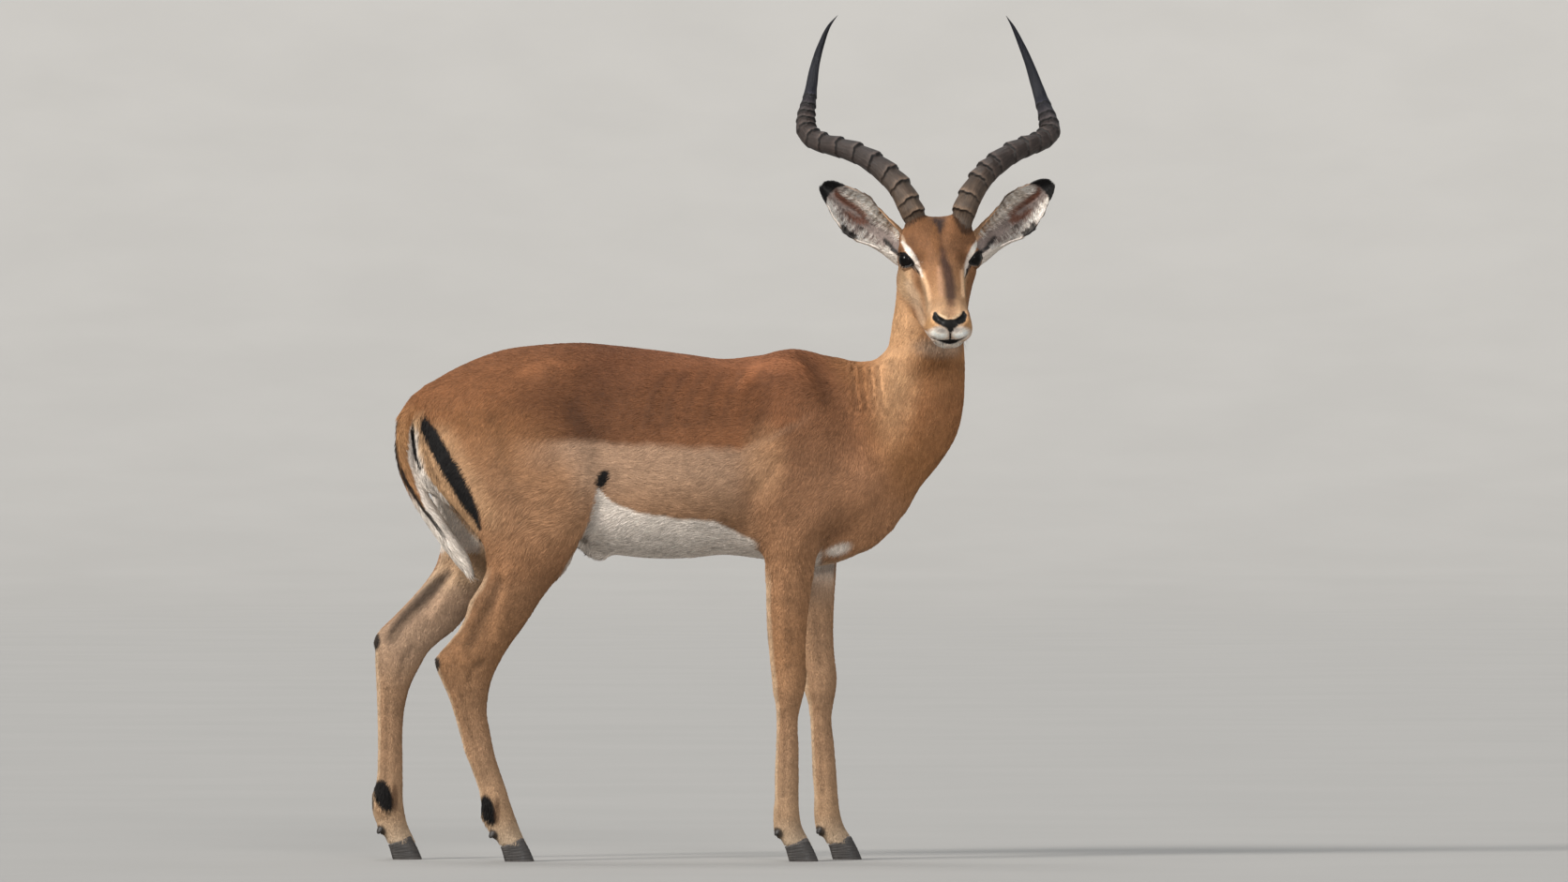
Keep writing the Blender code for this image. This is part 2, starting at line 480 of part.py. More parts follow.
def cut_off(ob, name, point, normal, keep_above=True):
    """A copy of an object, kept on one side of a plane, closed and flat on the cut."""
    bm = bmesh.new()
    bm.from_mesh(ob.data)
    shift = GAP / 2 if keep_above else -GAP / 2
    normal = Vector(normal).normalized()
    place = Vector(point) + normal * shift
    geometry = bm.verts[:] + bm.edges[:] + bm.faces[:]
    result = bmesh.ops.bisect_plane(bm, geom=geometry, dist=1e-6, plane_co=place, plane_no=normal,
                                    clear_inner=keep_above, clear_outer=not keep_above)
    edges = [e for e in result["geom_cut"] if isinstance(e, bmesh.types.BMEdge)]
    edges = [e for e in edges if e.is_valid and e.is_boundary]
    bmesh.ops.edgeloop_fill(bm, edges=edges)
    bmesh.ops.triangulate(bm, faces=[f for f in bm.faces if len(f.verts) > 4])
    bmesh.ops.recalc_face_normals(bm, faces=bm.faces[:])
    mesh = bpy.data.meshes.new(name)
    bm.to_mesh(mesh)
    bm.free()
    return add_object(name, mesh)


def split_loose(ob):
    """Separate bodies of one object, as lists of points and faces."""
    bm = bmesh.new()
    bm.from_mesh(ob.data)
    bm.verts.ensure_lookup_table()
    group = [-1] * len(bm.verts)
    bodies = 0
    for seed in bm.verts:
        if group[seed.index] >= 0:
            continue
        todo = [seed]
        group[seed.index] = bodies
        while todo:
            v = todo.pop()
            for e in v.link_edges:
                w = e.other_vert(v)
                if group[w.index] < 0:
                    group[w.index] = bodies
                    todo.append(w)
        bodies += 1
    out = []
    for g in range(bodies):
        verts = [v for v in bm.verts if group[v.index] == g]
        number = {v.index: i for i, v in enumerate(verts)}
        faces = [[number[v.index] for v in f.verts] for f in bm.faces if group[f.verts[0].index] == g]
        out.append(([tuple(v.co) for v in verts], faces))
    bm.free()
    return out


def subtract(ob, cutter):
    mod = ob.modifiers.new("hollow", "BOOLEAN")
    mod.operation = "DIFFERENCE"
    mod.solver = "EXACT"
    mod.object = cutter
    cutter.hide_render = True
    cutter.display_type = "WIRE"
    settle(ob)
    bpy.data.objects.remove(cutter, do_unlink=True)


def tidy(ob):
    """Triangles only, with no slivers shorter than a tenth of a millimetre."""
    bm = bmesh.new()
    bm.from_mesh(ob.data)
    bmesh.ops.remove_doubles(bm, verts=bm.verts[:], dist=0.0001)
    bmesh.ops.dissolve_degenerate(bm, edges=bm.edges[:], dist=0.00005)
    bmesh.ops.triangulate(bm, faces=bm.faces[:])
    bmesh.ops.recalc_face_normals(bm, faces=bm.faces[:])
    bm.to_mesh(ob.data)
    bm.free()


def unit(v):
    return v / np.maximum(np.linalg.norm(v, axis=-1, keepdims=True), 1e-12)


def smooth_line(rows, count):
    """Evenly spaced rows along a smooth curve through the given rows."""
    rows = np.asarray(rows, float)
    run = np.concatenate([[0], np.cumsum(np.linalg.norm(np.diff(rows[:, :3], axis=0), axis=1))])
    curve = smooth_table(np.column_stack([run, rows]), 400)[:, 1:]
    run = np.concatenate([[0], np.cumsum(np.linalg.norm(np.diff(curve[:, :3], axis=0), axis=1))])
    want = np.linspace(0, run[-1], count)
    return np.stack([np.interp(want, run, curve[:, i]) for i in range(curve.shape[1])], 1)


def frames(line, side):
    """Across and through directions along a line, starting from a wanted side."""
    forward = unit(np.gradient(line, axis=0))
    across = []
    side = np.asarray(side, float)
    for t in forward:
        side = unit(side - (side @ t) * t)
        across.append(side)
    across = np.array(across)
    return across, np.cross(forward, across)


def tube(name, rings):
    """A closed body from rings of equal numbers of points, ends capped."""
    rings = np.asarray(rings, float)
    n, m = rings.shape[:2]
    faces = []
    for i in range(n - 1):
        for j in range(m):
            k = (j + 1) % m
            faces.append((i * m + j, i * m + k, (i + 1) * m + k, (i + 1) * m + j))
    faces.append(tuple(range(m - 1, -1, -1)))
    faces.append(tuple((n - 1) * m + j for j in range(m)))
    ob = from_points(name, rings.reshape(-1, 3), faces)
    tidy(ob)
    return ob


def hull(name, rings, extra):
    """The convex body around some rings, a little larger than they are."""
    rings = np.asarray(rings, float)
    middle = rings.mean(axis=(0, 1))
    points = rings.reshape(-1, 3)
    points = points + unit(points - middle) * extra
    bm = bmesh.new()
    for p in points:
        bm.verts.new(p)
    result = bmesh.ops.convex_hull(bm, input=bm.verts[:])
    spare = [v for v in result["geom_interior"] + result["geom_unused"] if isinstance(v, bmesh.types.BMVert)]
    bmesh.ops.delete(bm, geom=list(set(spare)), context="VERTS")
    mesh = bpy.data.meshes.new(name)
    bm.to_mesh(mesh)
    bm.free()
    ob = add_object(name, mesh)
    tidy(ob)
    return ob


def deepen(rings, extra):
    """Push the first ring back, so that a socket is deeper than its plug."""
    rings = np.array(rings, float)
    rings[0] -= unit(rings[1].mean(0) - rings[0].mean(0)) * extra
    return rings


def horn_rings(rows, extra=0.0, upto=1.0):
    """Ridged rings from the root, fading to a smooth tip."""
    per_ring = 2
    ridged = HORN_RINGS * per_ring
    smooth = 9
    places = np.concatenate([np.arange(ridged) / ridged * HORN_RING_END,
                             np.linspace(HORN_RING_END, 1.0, smooth)])
    line = smooth_line(rows, 401)
    picked = np.stack([np.interp(places, np.linspace(0, 1, 401), line[:, i]) for i in range(4)], 1)
    across, through = frames(picked[:, :3], (0.0, 1.0, 0.0))
    turn = np.arange(HORN_SIDES) * 2 * math.pi / HORN_SIDES
    rings = []
    for i, (place, row) in enumerate(zip(places, picked)):
        if place > upto:
            break
        step = i % per_ring
        ridge = (1.0, -0.6)[step] if i < ridged else 0.0
        fade = min(1.0, place / 0.05) * (1.0 - 0.6 * place / HORN_RING_END)
        radius = row[3] + ridge * HORN_RING_HEIGHT * max(0.0, fade) + extra
        ring = [row[:3] + radius * (math.cos(a) * across[i] + math.sin(a) * through[i]) for a in turn]
        rings.append(ring)
    return deepen(rings, extra)


def ear_rings(base, tip, upto=1.0, steps=11, arc=7):
    """A cupped leaf, open towards the animal's right, rolled into a stem at its root."""
    base, tip = np.array(base), np.array(tip)
    along = unit(tip - base)
    length = np.linalg.norm(tip - base)
    back = unit(np.array((0.0, 1.0, 0.0)) - along[1] * along)
    across = np.cross(along, back)
    widths = smooth_table(EAR_HALF_WIDTH, 60)
    curls = smooth_table(EAR_CURL, 60)
    rings = []
    for t in np.linspace(-0.10, 1.0, steps):
        if t > upto:
            break
        k = max(t, 0.0)
        half = np.interp(k, widths[:, 0], widths[:, 1])
        curl = math.radians(np.interp(k, curls[:, 0], curls[:, 1]))
        radius = half / math.sin(min(curl, math.pi / 2))
        middle = base + along * length * t
        opened = min(1.0, max(0.0, (k - 0.04) / 0.22))
        opened = opened * opened * (3 - 2 * opened)
        thick = EAR_THICK * (1.0 - 0.55 * k)
        ring = []
        for v in np.linspace(-1, 1, arc):
            a = v * curl
            depth = radius * (math.cos(a) - math.cos(min(curl, math.radians(95))))
            ring.append(middle + across * radius * math.sin(a) + back * depth)
        for v in np.linspace(1, -1, arc):
            a = v * curl
            depth = radius * (math.cos(a) - math.cos(min(curl, math.radians(95))))
            lean = 1.0 - thick / radius
            inner = middle + across * radius * lean * math.sin(a) + back * (depth - thick * math.cos(a * 0.6))
            plug = middle + across * half * 0.96 * math.sin(v * 1.45) - back * half * 0.55 * math.cos(v * 1.45)
            ring.append(inner * opened + plug * (1 - opened))
        rings.append(ring)
    return rings


def tail_rings(extra=0.0, steps=16, sides=8):
    line = smooth_line(TAIL, steps)
    across, through = frames(line[:, :3], (0.0, 1.0, 0.0))
    turn = (np.arange(sides) + 0.5) * 2 * math.pi / sides
    rings = []
    for row, a, b in zip(line, across, through):
        wide, deep = row[3] + extra, row[4] + extra
        rings.append([row[:3] + wide * math.cos(q) * a + deep * math.sin(q) * b for q in turn])
    return deepen(rings, extra)


def eye_ball(name, side, extra=0.0):
    bm = bmesh.new()
    bmesh.ops.create_uvsphere(bm, u_segments=12, v_segments=8, radius=EYE_RADIUS + extra)
    mesh = bpy.data.meshes.new(name)
    bm.to_mesh(mesh)
    bm.free()
    ob = add_object(name, mesh)
    centre = from_head(0.0, side * EYE_SIDE, 0.0)
    ob.data.transform(Vector((0, 0, 0)).to_track_quat("Z", "Y").to_matrix().to_4x4())
    for v in ob.data.vertices:
        q = v.co
        v.co = Vector(centre + q[0] * AHEAD + q[1] * TOPWARD + q[2] * LEFTWARD * side)
    tidy(ob)
    return ob


def coronet_plane(foot):
    x, y = FEET[foot]
    return (x - 0.010, y, CORONET), (-CORONET_SLOPE, 0.0, 1.0)


def claw(name, foot, out):
    """One of the two toes of a hoof: flat sole, sloping wall, top cut along the coronet."""
    x, y = FEET[foot]
    point, normal = coronet_plane(foot)
    outward = math.copysign(1.0, y) * out
    levels = [(0.0, 1.00, 0.0), (0.020, 0.94, -0.007), (0.060, 0.86, -0.026)]
    rings = []
    for z, size, back in levels:
        ring = []
        for q in np.linspace(0, 2 * math.pi, 10, endpoint=False):
            c, s = math.cos(q), math.sin(q)
            px = CLAW_LENGTH / 2 * size * c
            taper = 1.0 - 0.42 * max(0.0, c) ** 2
            bulge = CLAW_WIDTH / 2 * size * math.copysign(abs(s) ** 0.8, s) * taper
            inner = CLAW_SPLIT / 2 + CLAW_WIDTH / 2 * (0.93 if s > 0 else 1.0)
            ring.append((x + back + px, y + outward * (inner + bulge), z))
        rings.append(ring)
    block = tube(name + "_block", rings)
    ob = cut_off(block, name, point, normal, keep_above=False)
    bpy.data.objects.remove(block, do_unlink=True)
    return ob


# ---------------------------------------------------------------- build
def build_flesh():
    masses, swells = flesh()
    axes, value = grid_values((-0.54, -0.30, -0.02), (0.60, 0.18, 1.19), 0.0055, masses, swells)
    whole = from_points("whole", *surface_net(axes, value))
    thin_out(whole, BODY_TRIANGLES)
    axes, value = grid_values((0.39, -0.29, 0.84), (0.60, 0.10, 1.19), 0.0035, masses, swells)
    upper = from_points("upper", *surface_net(axes, value))
    thin_out(upper, HEAD_TRIANGLES * 2)
    made = {}
    # the head leaves the neck behind the jaw
    throat, tilt = (0.49, -0.028, 1.000), (0.05, -0.62, 0.78)
    made["head"] = cut_off(upper, "head", throat, tilt)
    lower = cut_off(whole, "lower", throat, tilt, keep_above=False)
    # the neck leaves the trunk from the withers to the breast
    withers, lean = (0.350, 0.0, 0.800), (0.93, 0.0, 0.36)
    made["neck"] = cut_off(lower, "neck", withers, lean)
    body = cut_off(lower, "body", withers, lean, keep_above=False)
    made["trunk"] = cut_off(body, "trunk", (0, 0, LEG_CUT), (0, 0, 1))
    legs = cut_off(body, "legs", (0, 0, LEG_CUT), (0, 0, 1), keep_above=False)
    for points, faces in split_loose(legs):
        x, y = np.mean([p[0] for p in points]), np.mean([p[1] for p in points])
        end = "front" if x > 0 else "hind"
        side = "left" if y > 0 else "right"
        leg = from_points("leg", points, faces)
        cut = KNEE_CUT if end == "front" else HOCK_CUT
        upper_name = ("forearm_" if end == "front" else "gaskin_") + side
        made[upper_name] = cut_off(leg, upper_name, (0, 0, cut), (0, 0, 1))
        shank = cut_off(leg, "shank", (0, 0, cut), (0, 0, 1), keep_above=False)
        point, normal = coronet_plane(end + "_" + side)
        lower_name = "shank_" + end + "_" + side
        made[lower_name] = cut_off(shank, lower_name, point, normal)
        bpy.data.objects.remove(shank, do_unlink=True)
        bpy.data.objects.remove(leg, do_unlink=True)
    for spare in (whole, upper, lower, body, legs):
        bpy.data.objects.remove(spare, do_unlink=True)
    return made


def main():
    clear_scene()
    made = build_flesh()
    looks = {name: ("coat", 0.75) for name in ("trunk", "neck")}
    looks["head"] = ("face", 0.75)
    for name in made:
        looks.setdefault(name, ("leg", 0.75))
    for side, rows, ear in (("right", HORN_RIGHT, EAR_RIGHT), ("left", HORN_LEFT, EAR_LEFT)):
        sign = -1 if side == "right" else 1
        made["horn_" + side] = tube("horn_" + side, horn_rings(rows))
        subtract(made["head"], tube("cutter", horn_rings(rows, extra=0.0012, upto=0.3)))
        made["ear_" + side] = tube("ear_" + side, ear_rings(*ear))
        subtract(made["head"], hull("cutter", ear_rings(*ear, upto=0.25), 0.0012))
        made["eye_" + side] = eye_ball("eye_" + side, sign)
        subtract(made["head"], eye_ball("cutter", sign, extra=0.0007))
        looks["horn_" + side] = ("horn", 0.45)
        looks["ear_" + side] = ("ear", 0.8)
        looks["eye_" + side] = ("eye", 0.1)
    made["tail"] = tube("tail", tail_rings())
    subtract(made["trunk"], tube("cutter", tail_rings(extra=0.0010)))
    looks["tail"] = ("tail", 0.8)
    for foot in FEET:
        for where, out in (("outer", 1), ("inner", -1)):
            name = "hoof_" + foot + "_" + where
            made[name] = claw(name, foot, out)
            looks[name] = ("hoof", 0.4)
    for name, ob in made.items():
        tidy(ob)
        colour, roughness = looks[name]
        ob.data.materials.clear()
        ob.data.materials.append(material(name, COLOURS[colour], roughness))
        ob.name = name
        ob.data.name = name
        ob.data.transform(to_origin())
        hard = name.startswith("hoof")
        for polygon in ob.data.polygons:
            polygon.use_smooth = not hard


def to_origin():

    return Matrix.Translation((-ORIGIN_X, -ORIGIN_Y, 0.0))


main()
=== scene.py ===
"""Looks of the standing male impala: skin, coat, face, ears, horns, hooves, studio and camera.

The shape is worked out in the same design frame as the solids (x forward, y to the animal's left,
z up, metres) and moved by SHIFT, which comes from where the frame has the eyes.
"""
import math

import bmesh
import bpy
import numpy as np
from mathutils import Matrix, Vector


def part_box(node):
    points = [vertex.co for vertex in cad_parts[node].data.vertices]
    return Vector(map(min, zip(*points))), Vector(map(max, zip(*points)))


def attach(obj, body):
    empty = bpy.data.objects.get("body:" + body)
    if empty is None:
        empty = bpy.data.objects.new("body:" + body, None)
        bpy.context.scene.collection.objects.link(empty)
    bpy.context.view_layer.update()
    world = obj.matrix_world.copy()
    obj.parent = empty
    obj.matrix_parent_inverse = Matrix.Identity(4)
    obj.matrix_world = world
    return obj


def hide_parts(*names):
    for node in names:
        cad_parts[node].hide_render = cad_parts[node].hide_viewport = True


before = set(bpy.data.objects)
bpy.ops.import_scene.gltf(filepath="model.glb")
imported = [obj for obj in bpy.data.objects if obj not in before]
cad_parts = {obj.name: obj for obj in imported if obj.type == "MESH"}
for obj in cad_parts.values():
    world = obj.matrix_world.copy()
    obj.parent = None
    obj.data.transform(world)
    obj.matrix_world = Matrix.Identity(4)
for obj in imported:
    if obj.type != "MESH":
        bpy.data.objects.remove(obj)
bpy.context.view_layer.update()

CHANCE = np.random.default_rng(7)


# ---------------------------------------------------------------- driving sizes
CORONET = 0.034             # height of the hoof's top edge, at its middle
CORONET_SLOPE = 0.30        # the hoof is taller in front
SWAY_FRONT = (0.078, 0.075)  # the left foreleg stands ahead: shift at the floor, less per metre
EYES = np.array((0.4995, -0.085, 1.060))   # midway between the eyes
YAW = math.radians(6.5)     # the face looks to the animal's right, turned this much forward
PITCH = math.radians(30.0)  # nose down
ROLL = math.radians(1.5)
EYE_SIDE, EYE_RADIUS = 0.0550, 0.0185

# Sections of the foreleg: height, rear edge, front edge, distance from mid plane, half width
FORE = [(0.880, 0.205, 0.262, 0.030, 0.018), (0.840, 0.195, 0.290, 0.046, 0.030),
        (0.780, 0.188, 0.325, 0.058, 0.038), (0.720, 0.176, 0.362, 0.064, 0.043),
        (0.660, 0.164, 0.378, 0.068, 0.044), (0.610, 0.165, 0.345, 0.072, 0.043),
        (0.570, 0.178, 0.298, 0.074, 0.039), (0.540, 0.189, 0.284, 0.073, 0.036),
        (0.500, 0.192, 0.277, 0.072, 0.033), (0.450, 0.193, 0.270, 0.070, 0.029),
        (0.400, 0.195, 0.265, 0.069, 0.0265), (0.360, 0.1990, 0.2638, 0.068, 0.0255),
        (0.320, 0.2028, 0.2648, 0.068, 0.0270), (0.300, 0.2045, 0.2618, 0.068, 0.0265),
        (0.280, 0.2088, 0.2568, 0.068, 0.0230), (0.255, 0.2108, 0.2512, 0.068, 0.0185),
        (0.200, 0.2100, 0.2515, 0.068, 0.0165), (0.150, 0.2085, 0.2515, 0.068, 0.0162),
        (0.110, 0.2087, 0.2508, 0.068, 0.0178), (0.085, 0.2067, 0.2518, 0.0685, 0.0200),
        (0.060, 0.2082, 0.2568, 0.069, 0.0195), (0.040, 0.219, 0.267, 0.070, 0.0192),
        (0.015, 0.232, 0.281, 0.071, 0.0200)]
# Right hind leg, standing under the body
HIND_RIGHT = [(0.880, -0.240, -0.150, 0.034, 0.020), (0.840, -0.330, -0.138, 0.046, 0.036),
              (0.780, -0.385, -0.126, 0.056, 0.047), (0.740, -0.400, -0.118, 0.061, 0.051),
              (0.700, -0.402, -0.109, 0.067, 0.053), (0.640, -0.371, -0.106, 0.074, 0.052),
              (0.600, -0.337, -0.118, 0.079, 0.048), (0.560, -0.307, -0.136, 0.081, 0.044),
              (0.510, -0.300, -0.161, 0.081, 0.038), (0.485, -0.311, -0.183, 0.080, 0.035),
              (0.460, -0.327, -0.202, 0.0795, 0.031), (0.430, -0.337, -0.221, 0.079, 0.0275),
              (0.405, -0.350, -0.238, 0.078, 0.0250), (0.385, -0.366, -0.253, 0.078, 0.0242),
              (0.355, -0.3892, -0.2718, 0.0775, 0.0245), (0.340, -0.3872, -0.2798, 0.077, 0.0245),
              (0.315, -0.3772, -0.2898, 0.077, 0.0235), (0.290, -0.3662, -0.2948, 0.077, 0.0215),
              (0.260, -0.3562, -0.2968, 0.077, 0.0190), (0.225, -0.3462, -0.2908, 0.077, 0.0175),
              (0.190, -0.3362, -0.2838, 0.077, 0.0170), (0.160, -0.3242, -0.2748, 0.077, 0.0168),
              (0.130, -0.3132, -0.2648, 0.0775, 0.0178), (0.100, -0.3072, -0.2558, 0.078, 0.0198),
              (0.080, -0.3042, -0.2488, 0.0785, 0.0198), (0.058, -0.2932, -0.2408, 0.079, 0.0192),
              (0.040, -0.282, -0.233, 0.080, 0.0192), (0.015, -0.268, -0.219, 0.080, 0.0200)]
# Left hind leg, standing further back
HIND_LEFT = [(0.880, -0.240, -0.155, 0.034, 0.020), (0.840, -0.335, -0.148, 0.046, 0.036),
             (0.780, -0.388, -0.140, 0.056, 0.047), (0.740, -0.404, -0.137, 0.061, 0.051),
             (0.700, -0.406, -0.136, 0.067, 0.053), (0.640, -0.397, -0.148, 0.073, 0.052),
             (0.600, -0.389, -0.172, 0.078, 0.048), (0.560, -0.383, -0.205, 0.080, 0.044),
             (0.510, -0.397, -0.252, 0.081, 0.038), (0.485, -0.415, -0.282, 0.080, 0.0350),
             (0.460, -0.437, -0.308, 0.0795, 0.0310), (0.430, -0.466, -0.336, 0.079, 0.0272),
             (0.405, -0.491, -0.358, 0.078, 0.0250), (0.390, -0.500, -0.377, 0.078, 0.0245),
             (0.370, -0.499, -0.400, 0.0775, 0.0245), (0.340, -0.4982, -0.4188, 0.077, 0.0240),
             (0.310, -0.4967, -0.4338, 0.077, 0.0225), (0.270, -0.4952, -0.4448, 0.077, 0.0195),
             (0.230, -0.4942, -0.4488, 0.077, 0.0175), (0.180, -0.4942, -0.4488, 0.077, 0.0168),
             (0.140, -0.4957, -0.4488, 0.077, 0.0172), (0.105, -0.5032, -0.4488, 0.078, 0.0198),
             (0.080, -0.5012, -0.4458, 0.0785, 0.0198), (0.060, -0.4932, -0.4408, 0.079, 0.0192),
             (0.040, -0.481, -0.432, 0.080, 0.0192), (0.015, -0.470, -0.420, 0.080, 0.0200)]
# Trunk: place along the body, belly, widest height, back, half width, squareness
TRUNK = [(-0.432, 0.705, 0.765, 0.810, 0.018, 2.0), (-0.420, 0.672, 0.765, 0.8275, 0.042, 2.0),
         (-0.385, 0.640, 0.762, 0.852, 0.070, 2.0), (-0.340, 0.612, 0.755, 0.876, 0.088, 2.0),
         (-0.280, 0.587, 0.745, 0.899, 0.099, 2.0), (-0.200, 0.566, 0.730, 0.911, 0.107, 2.0),
         (-0.130, 0.552, 0.715, 0.914, 0.113, 2.1), (-0.080, 0.541, 0.705, 0.910, 0.119, 2.2),
         (0.000, 0.533, 0.695, 0.901, 0.128, 2.2), (0.060, 0.534, 0.690, 0.893, 0.132, 2.2),
         (0.120, 0.539, 0.690, 0.886, 0.127, 2.2), (0.180, 0.533, 0.695, 0.892, 0.113, 2.1),
         (0.250, 0.521, 0.700, 0.902, 0.098, 2.0), (0.300, 0.521, 0.705, 0.892, 0.092, 1.9),
         (0.350, 0.537, 0.710, 0.881, 0.084, 1.9), (0.400, 0.567, 0.715, 0.852, 0.070, 2.0),
         (0.435, 0.620, 0.725, 0.780, 0.045, 2.0)]
# Neck: height, nape edge, throat edge, middle across, half width
NECK = [(0.600, 0.310, 0.420, 0.000, 0.050), (0.650, 0.280, 0.459, 0.000, 0.064),
        (0.700, 0.290, 0.500, 0.000, 0.071), (0.750, 0.300, 0.530, 0.000, 0.072),
        (0.800, 0.320, 0.542, 0.000, 0.070), (0.845, 0.345, 0.545, 0.000, 0.068),
        (0.880, 0.385, 0.545, 0.000, 0.066), (0.900, 0.402, 0.544, 0.000, 0.064),
        (0.930, 0.411, 0.543, -0.002, 0.062), (0.960, 0.417, 0.543, -0.005, 0.060),
        (1.000, 0.424, 0.545, -0.012, 0.058), (1.045, 0.432, 0.548, -0.026, 0.055)]
# Head: place ahead of the eyes, half width, jaw, widest height, forehead and nose, squareness
HEAD = [(-0.112, 0.036, -0.035, 0.000, 0.018, 2.0), (-0.092, 0.050, -0.060, -0.002, 0.032, 2.1),
        (-0.068, 0.058, -0.082, -0.004, 0.045, 2.2), (-0.040, 0.063, -0.094, -0.012, 0.050, 2.2),
        (-0.010, 0.061, -0.097, -0.022, 0.046, 2.2), (0.025, 0.055, -0.094, -0.034, 0.037, 2.2),
        (0.060, 0.047, -0.088, -0.040, 0.024, 2.1), (0.095, 0.040, -0.081, -0.042, 0.011, 2.1),
        (0.130, 0.036, -0.076, -0.042, -0.001, 2.2), (0.155, 0.037, -0.072, -0.044, -0.010, 2.3),
        (0.172, 0.037, -0.070, -0.046, -0.016, 2.3), (0.184, 0.032, -0.063, -0.046, -0.022, 2.2)]
# Lower jaw, in the same places
JAW = [(-0.050, 0.040, -0.104, -0.075, -0.050, 2.0), (0.000, 0.047, -0.113, -0.082, -0.055, 2.0),
       (0.060, 0.045, -0.107, -0.082, -0.055, 2.0), (0.110, 0.037, -0.099, -0.078, -0.055, 2.0),
       (0.145, 0.029, -0.095, -0.074, -0.055, 2.2), (0.166, 0.023, -0.089, -0.072, -0.057, 2.2)]
# Swellings and hollows of the body, both sides: line, reach, height
BODY_SWELLS = [([(0.225, 0.050, 0.885), (0.300, 0.085, 0.740)], 0.030, 0.006),
               ([(0.225, 0.100, 0.745), (0.205, 0.112, 0.640)], 0.045, 0.009),
               ([(0.158, 0.100, 0.585), (0.172, 0.114, 0.640), (0.215, 0.112, 0.700)], 0.013, -0.004),
               ([(0.375, 0.075, 0.670)], 0.045, 0.010),
               ([(0.310, 0.110, 0.640), (0.250, 0.112, 0.560)], 0.028, 0.004),
               ([(0.385, 0.075, 0.740), (0.470, 0.062, 0.850)], 0.025, -0.004),
               ([(0.378, 0.014, 0.902), (0.392, 0.014, 0.920)], 0.022, -0.003),
               ([(-0.165, 0.078, 0.868)], 0.035, 0.008),
               ([(-0.085, 0.108, 0.820)], 0.055, -0.010),
               ([(-0.125, 0.120, 0.680), (-0.145, 0.118, 0.600)], 0.035, 0.006),
               ([(-0.060, 0.120, 0.650)], 0.045, -0.006),
               ([(-0.395, 0.052, 0.800)], 0.032, 0.006),
               ([(-0.350, 0.105, 0.760), (-0.330, 0.115, 0.660), (-0.300, 0.110, 0.580)], 0.014, -0.003)]
# The same for the face, in the head's own places
FACE_SWELLS = [([(-0.024, 0.056, 0.022), (0.014, 0.055, 0.020)], 0.016, 0.011),
               ([(-0.018, 0.060, -0.022), (0.014, 0.056, -0.020)], 0.014, 0.006),
               ([(-0.028, 0.060, 0.000)], 0.016, 0.009),
               ([(-0.030, 0.050, -0.055)], 0.036, 0.005),
               ([(-0.043, 0.039, 0.045), (-0.050, 0.044, 0.075)], 0.028, 0.018),
               ([(-0.078, 0.056, 0.000), (-0.078, 0.068, 0.005)], 0.024, 0.010),
               ([(0.150, 0.022, -0.022), (0.178, 0.020, -0.030)], 0.014, 0.004),
               ([(0.130, 0.034, -0.062), (0.166, 0.026, -0.062)], 0.015, 0.004)]
# Dewclaws: rear of each foot, height, and how they stand out on both sides of its middle
DEWCLAWS = [(0.214, -0.069, 0.050), (0.288, 0.069, 0.050), (-0.288, -0.079, 0.046), (-0.489, 0.079, 0.050)]
DEWCLAW_SPREAD, DEWCLAW_REACH, DEWCLAW_HEIGHT = 0.012, 0.009, 0.006
SHEATH = ([(-0.114, 0.000, 0.546), (-0.099, 0.000, 0.535)], 0.018, 0.015)

# Horns: place forward, across and up of the middle line, radius
HORN_RIGHT = [(0.4650, -0.075, 1.106, 0.0215), (0.4565, -0.070, 1.130, 0.0215),
              (0.4400, -0.062, 1.165, 0.0208), (0.4250, -0.052, 1.190, 0.0200),
              (0.4050, -0.038, 1.212, 0.0195), (0.3830, -0.024, 1.230, 0.0188),
              (0.3600, -0.008, 1.244, 0.0180), (0.3300, 0.010, 1.256, 0.0172),
              (0.3000, 0.030, 1.264, 0.0170), (0.2770, 0.047, 1.274, 0.0172),
              (0.2640, 0.062, 1.291, 0.0170), (0.2640, 0.077, 1.315, 0.0152),
              (0.2690, 0.089, 1.340, 0.0126), (0.2730, 0.098, 1.365, 0.0112),
              (0.2790, 0.104, 1.400, 0.0090), (0.2900, 0.106, 1.440, 0.0064),
              (0.3050, 0.102, 1.475, 0.0036), (0.3200, 0.096, 1.494, 0.0010)]
HORN_LEFT = [(0.5350, -0.075, 1.109, 0.0215), (0.5400, -0.070, 1.133, 0.0215),
             (0.5510, -0.062, 1.165, 0.0208), (0.5650, -0.052, 1.190, 0.0200),
             (0.5840, -0.038, 1.214, 0.0195), (0.6080, -0.024, 1.235, 0.0188),
             (0.6320, -0.008, 1.250, 0.0180), (0.6590, 0.010, 1.262, 0.0172),
             (0.6820, 0.030, 1.272, 0.0172), (0.6950, 0.047, 1.286, 0.0174),
             (0.6930, 0.062, 1.305, 0.0160), (0.6870, 0.077, 1.325, 0.0142),
             (0.6800, 0.089, 1.345, 0.0124), (0.6730, 0.098, 1.368, 0.0112),
             (0.6620, 0.104, 1.400, 0.0090), (0.6460, 0.106, 1.440, 0.0064),
             (0.6300, 0.102, 1.474, 0.0036), (0.6180, 0.096, 1.493, 0.0010)]

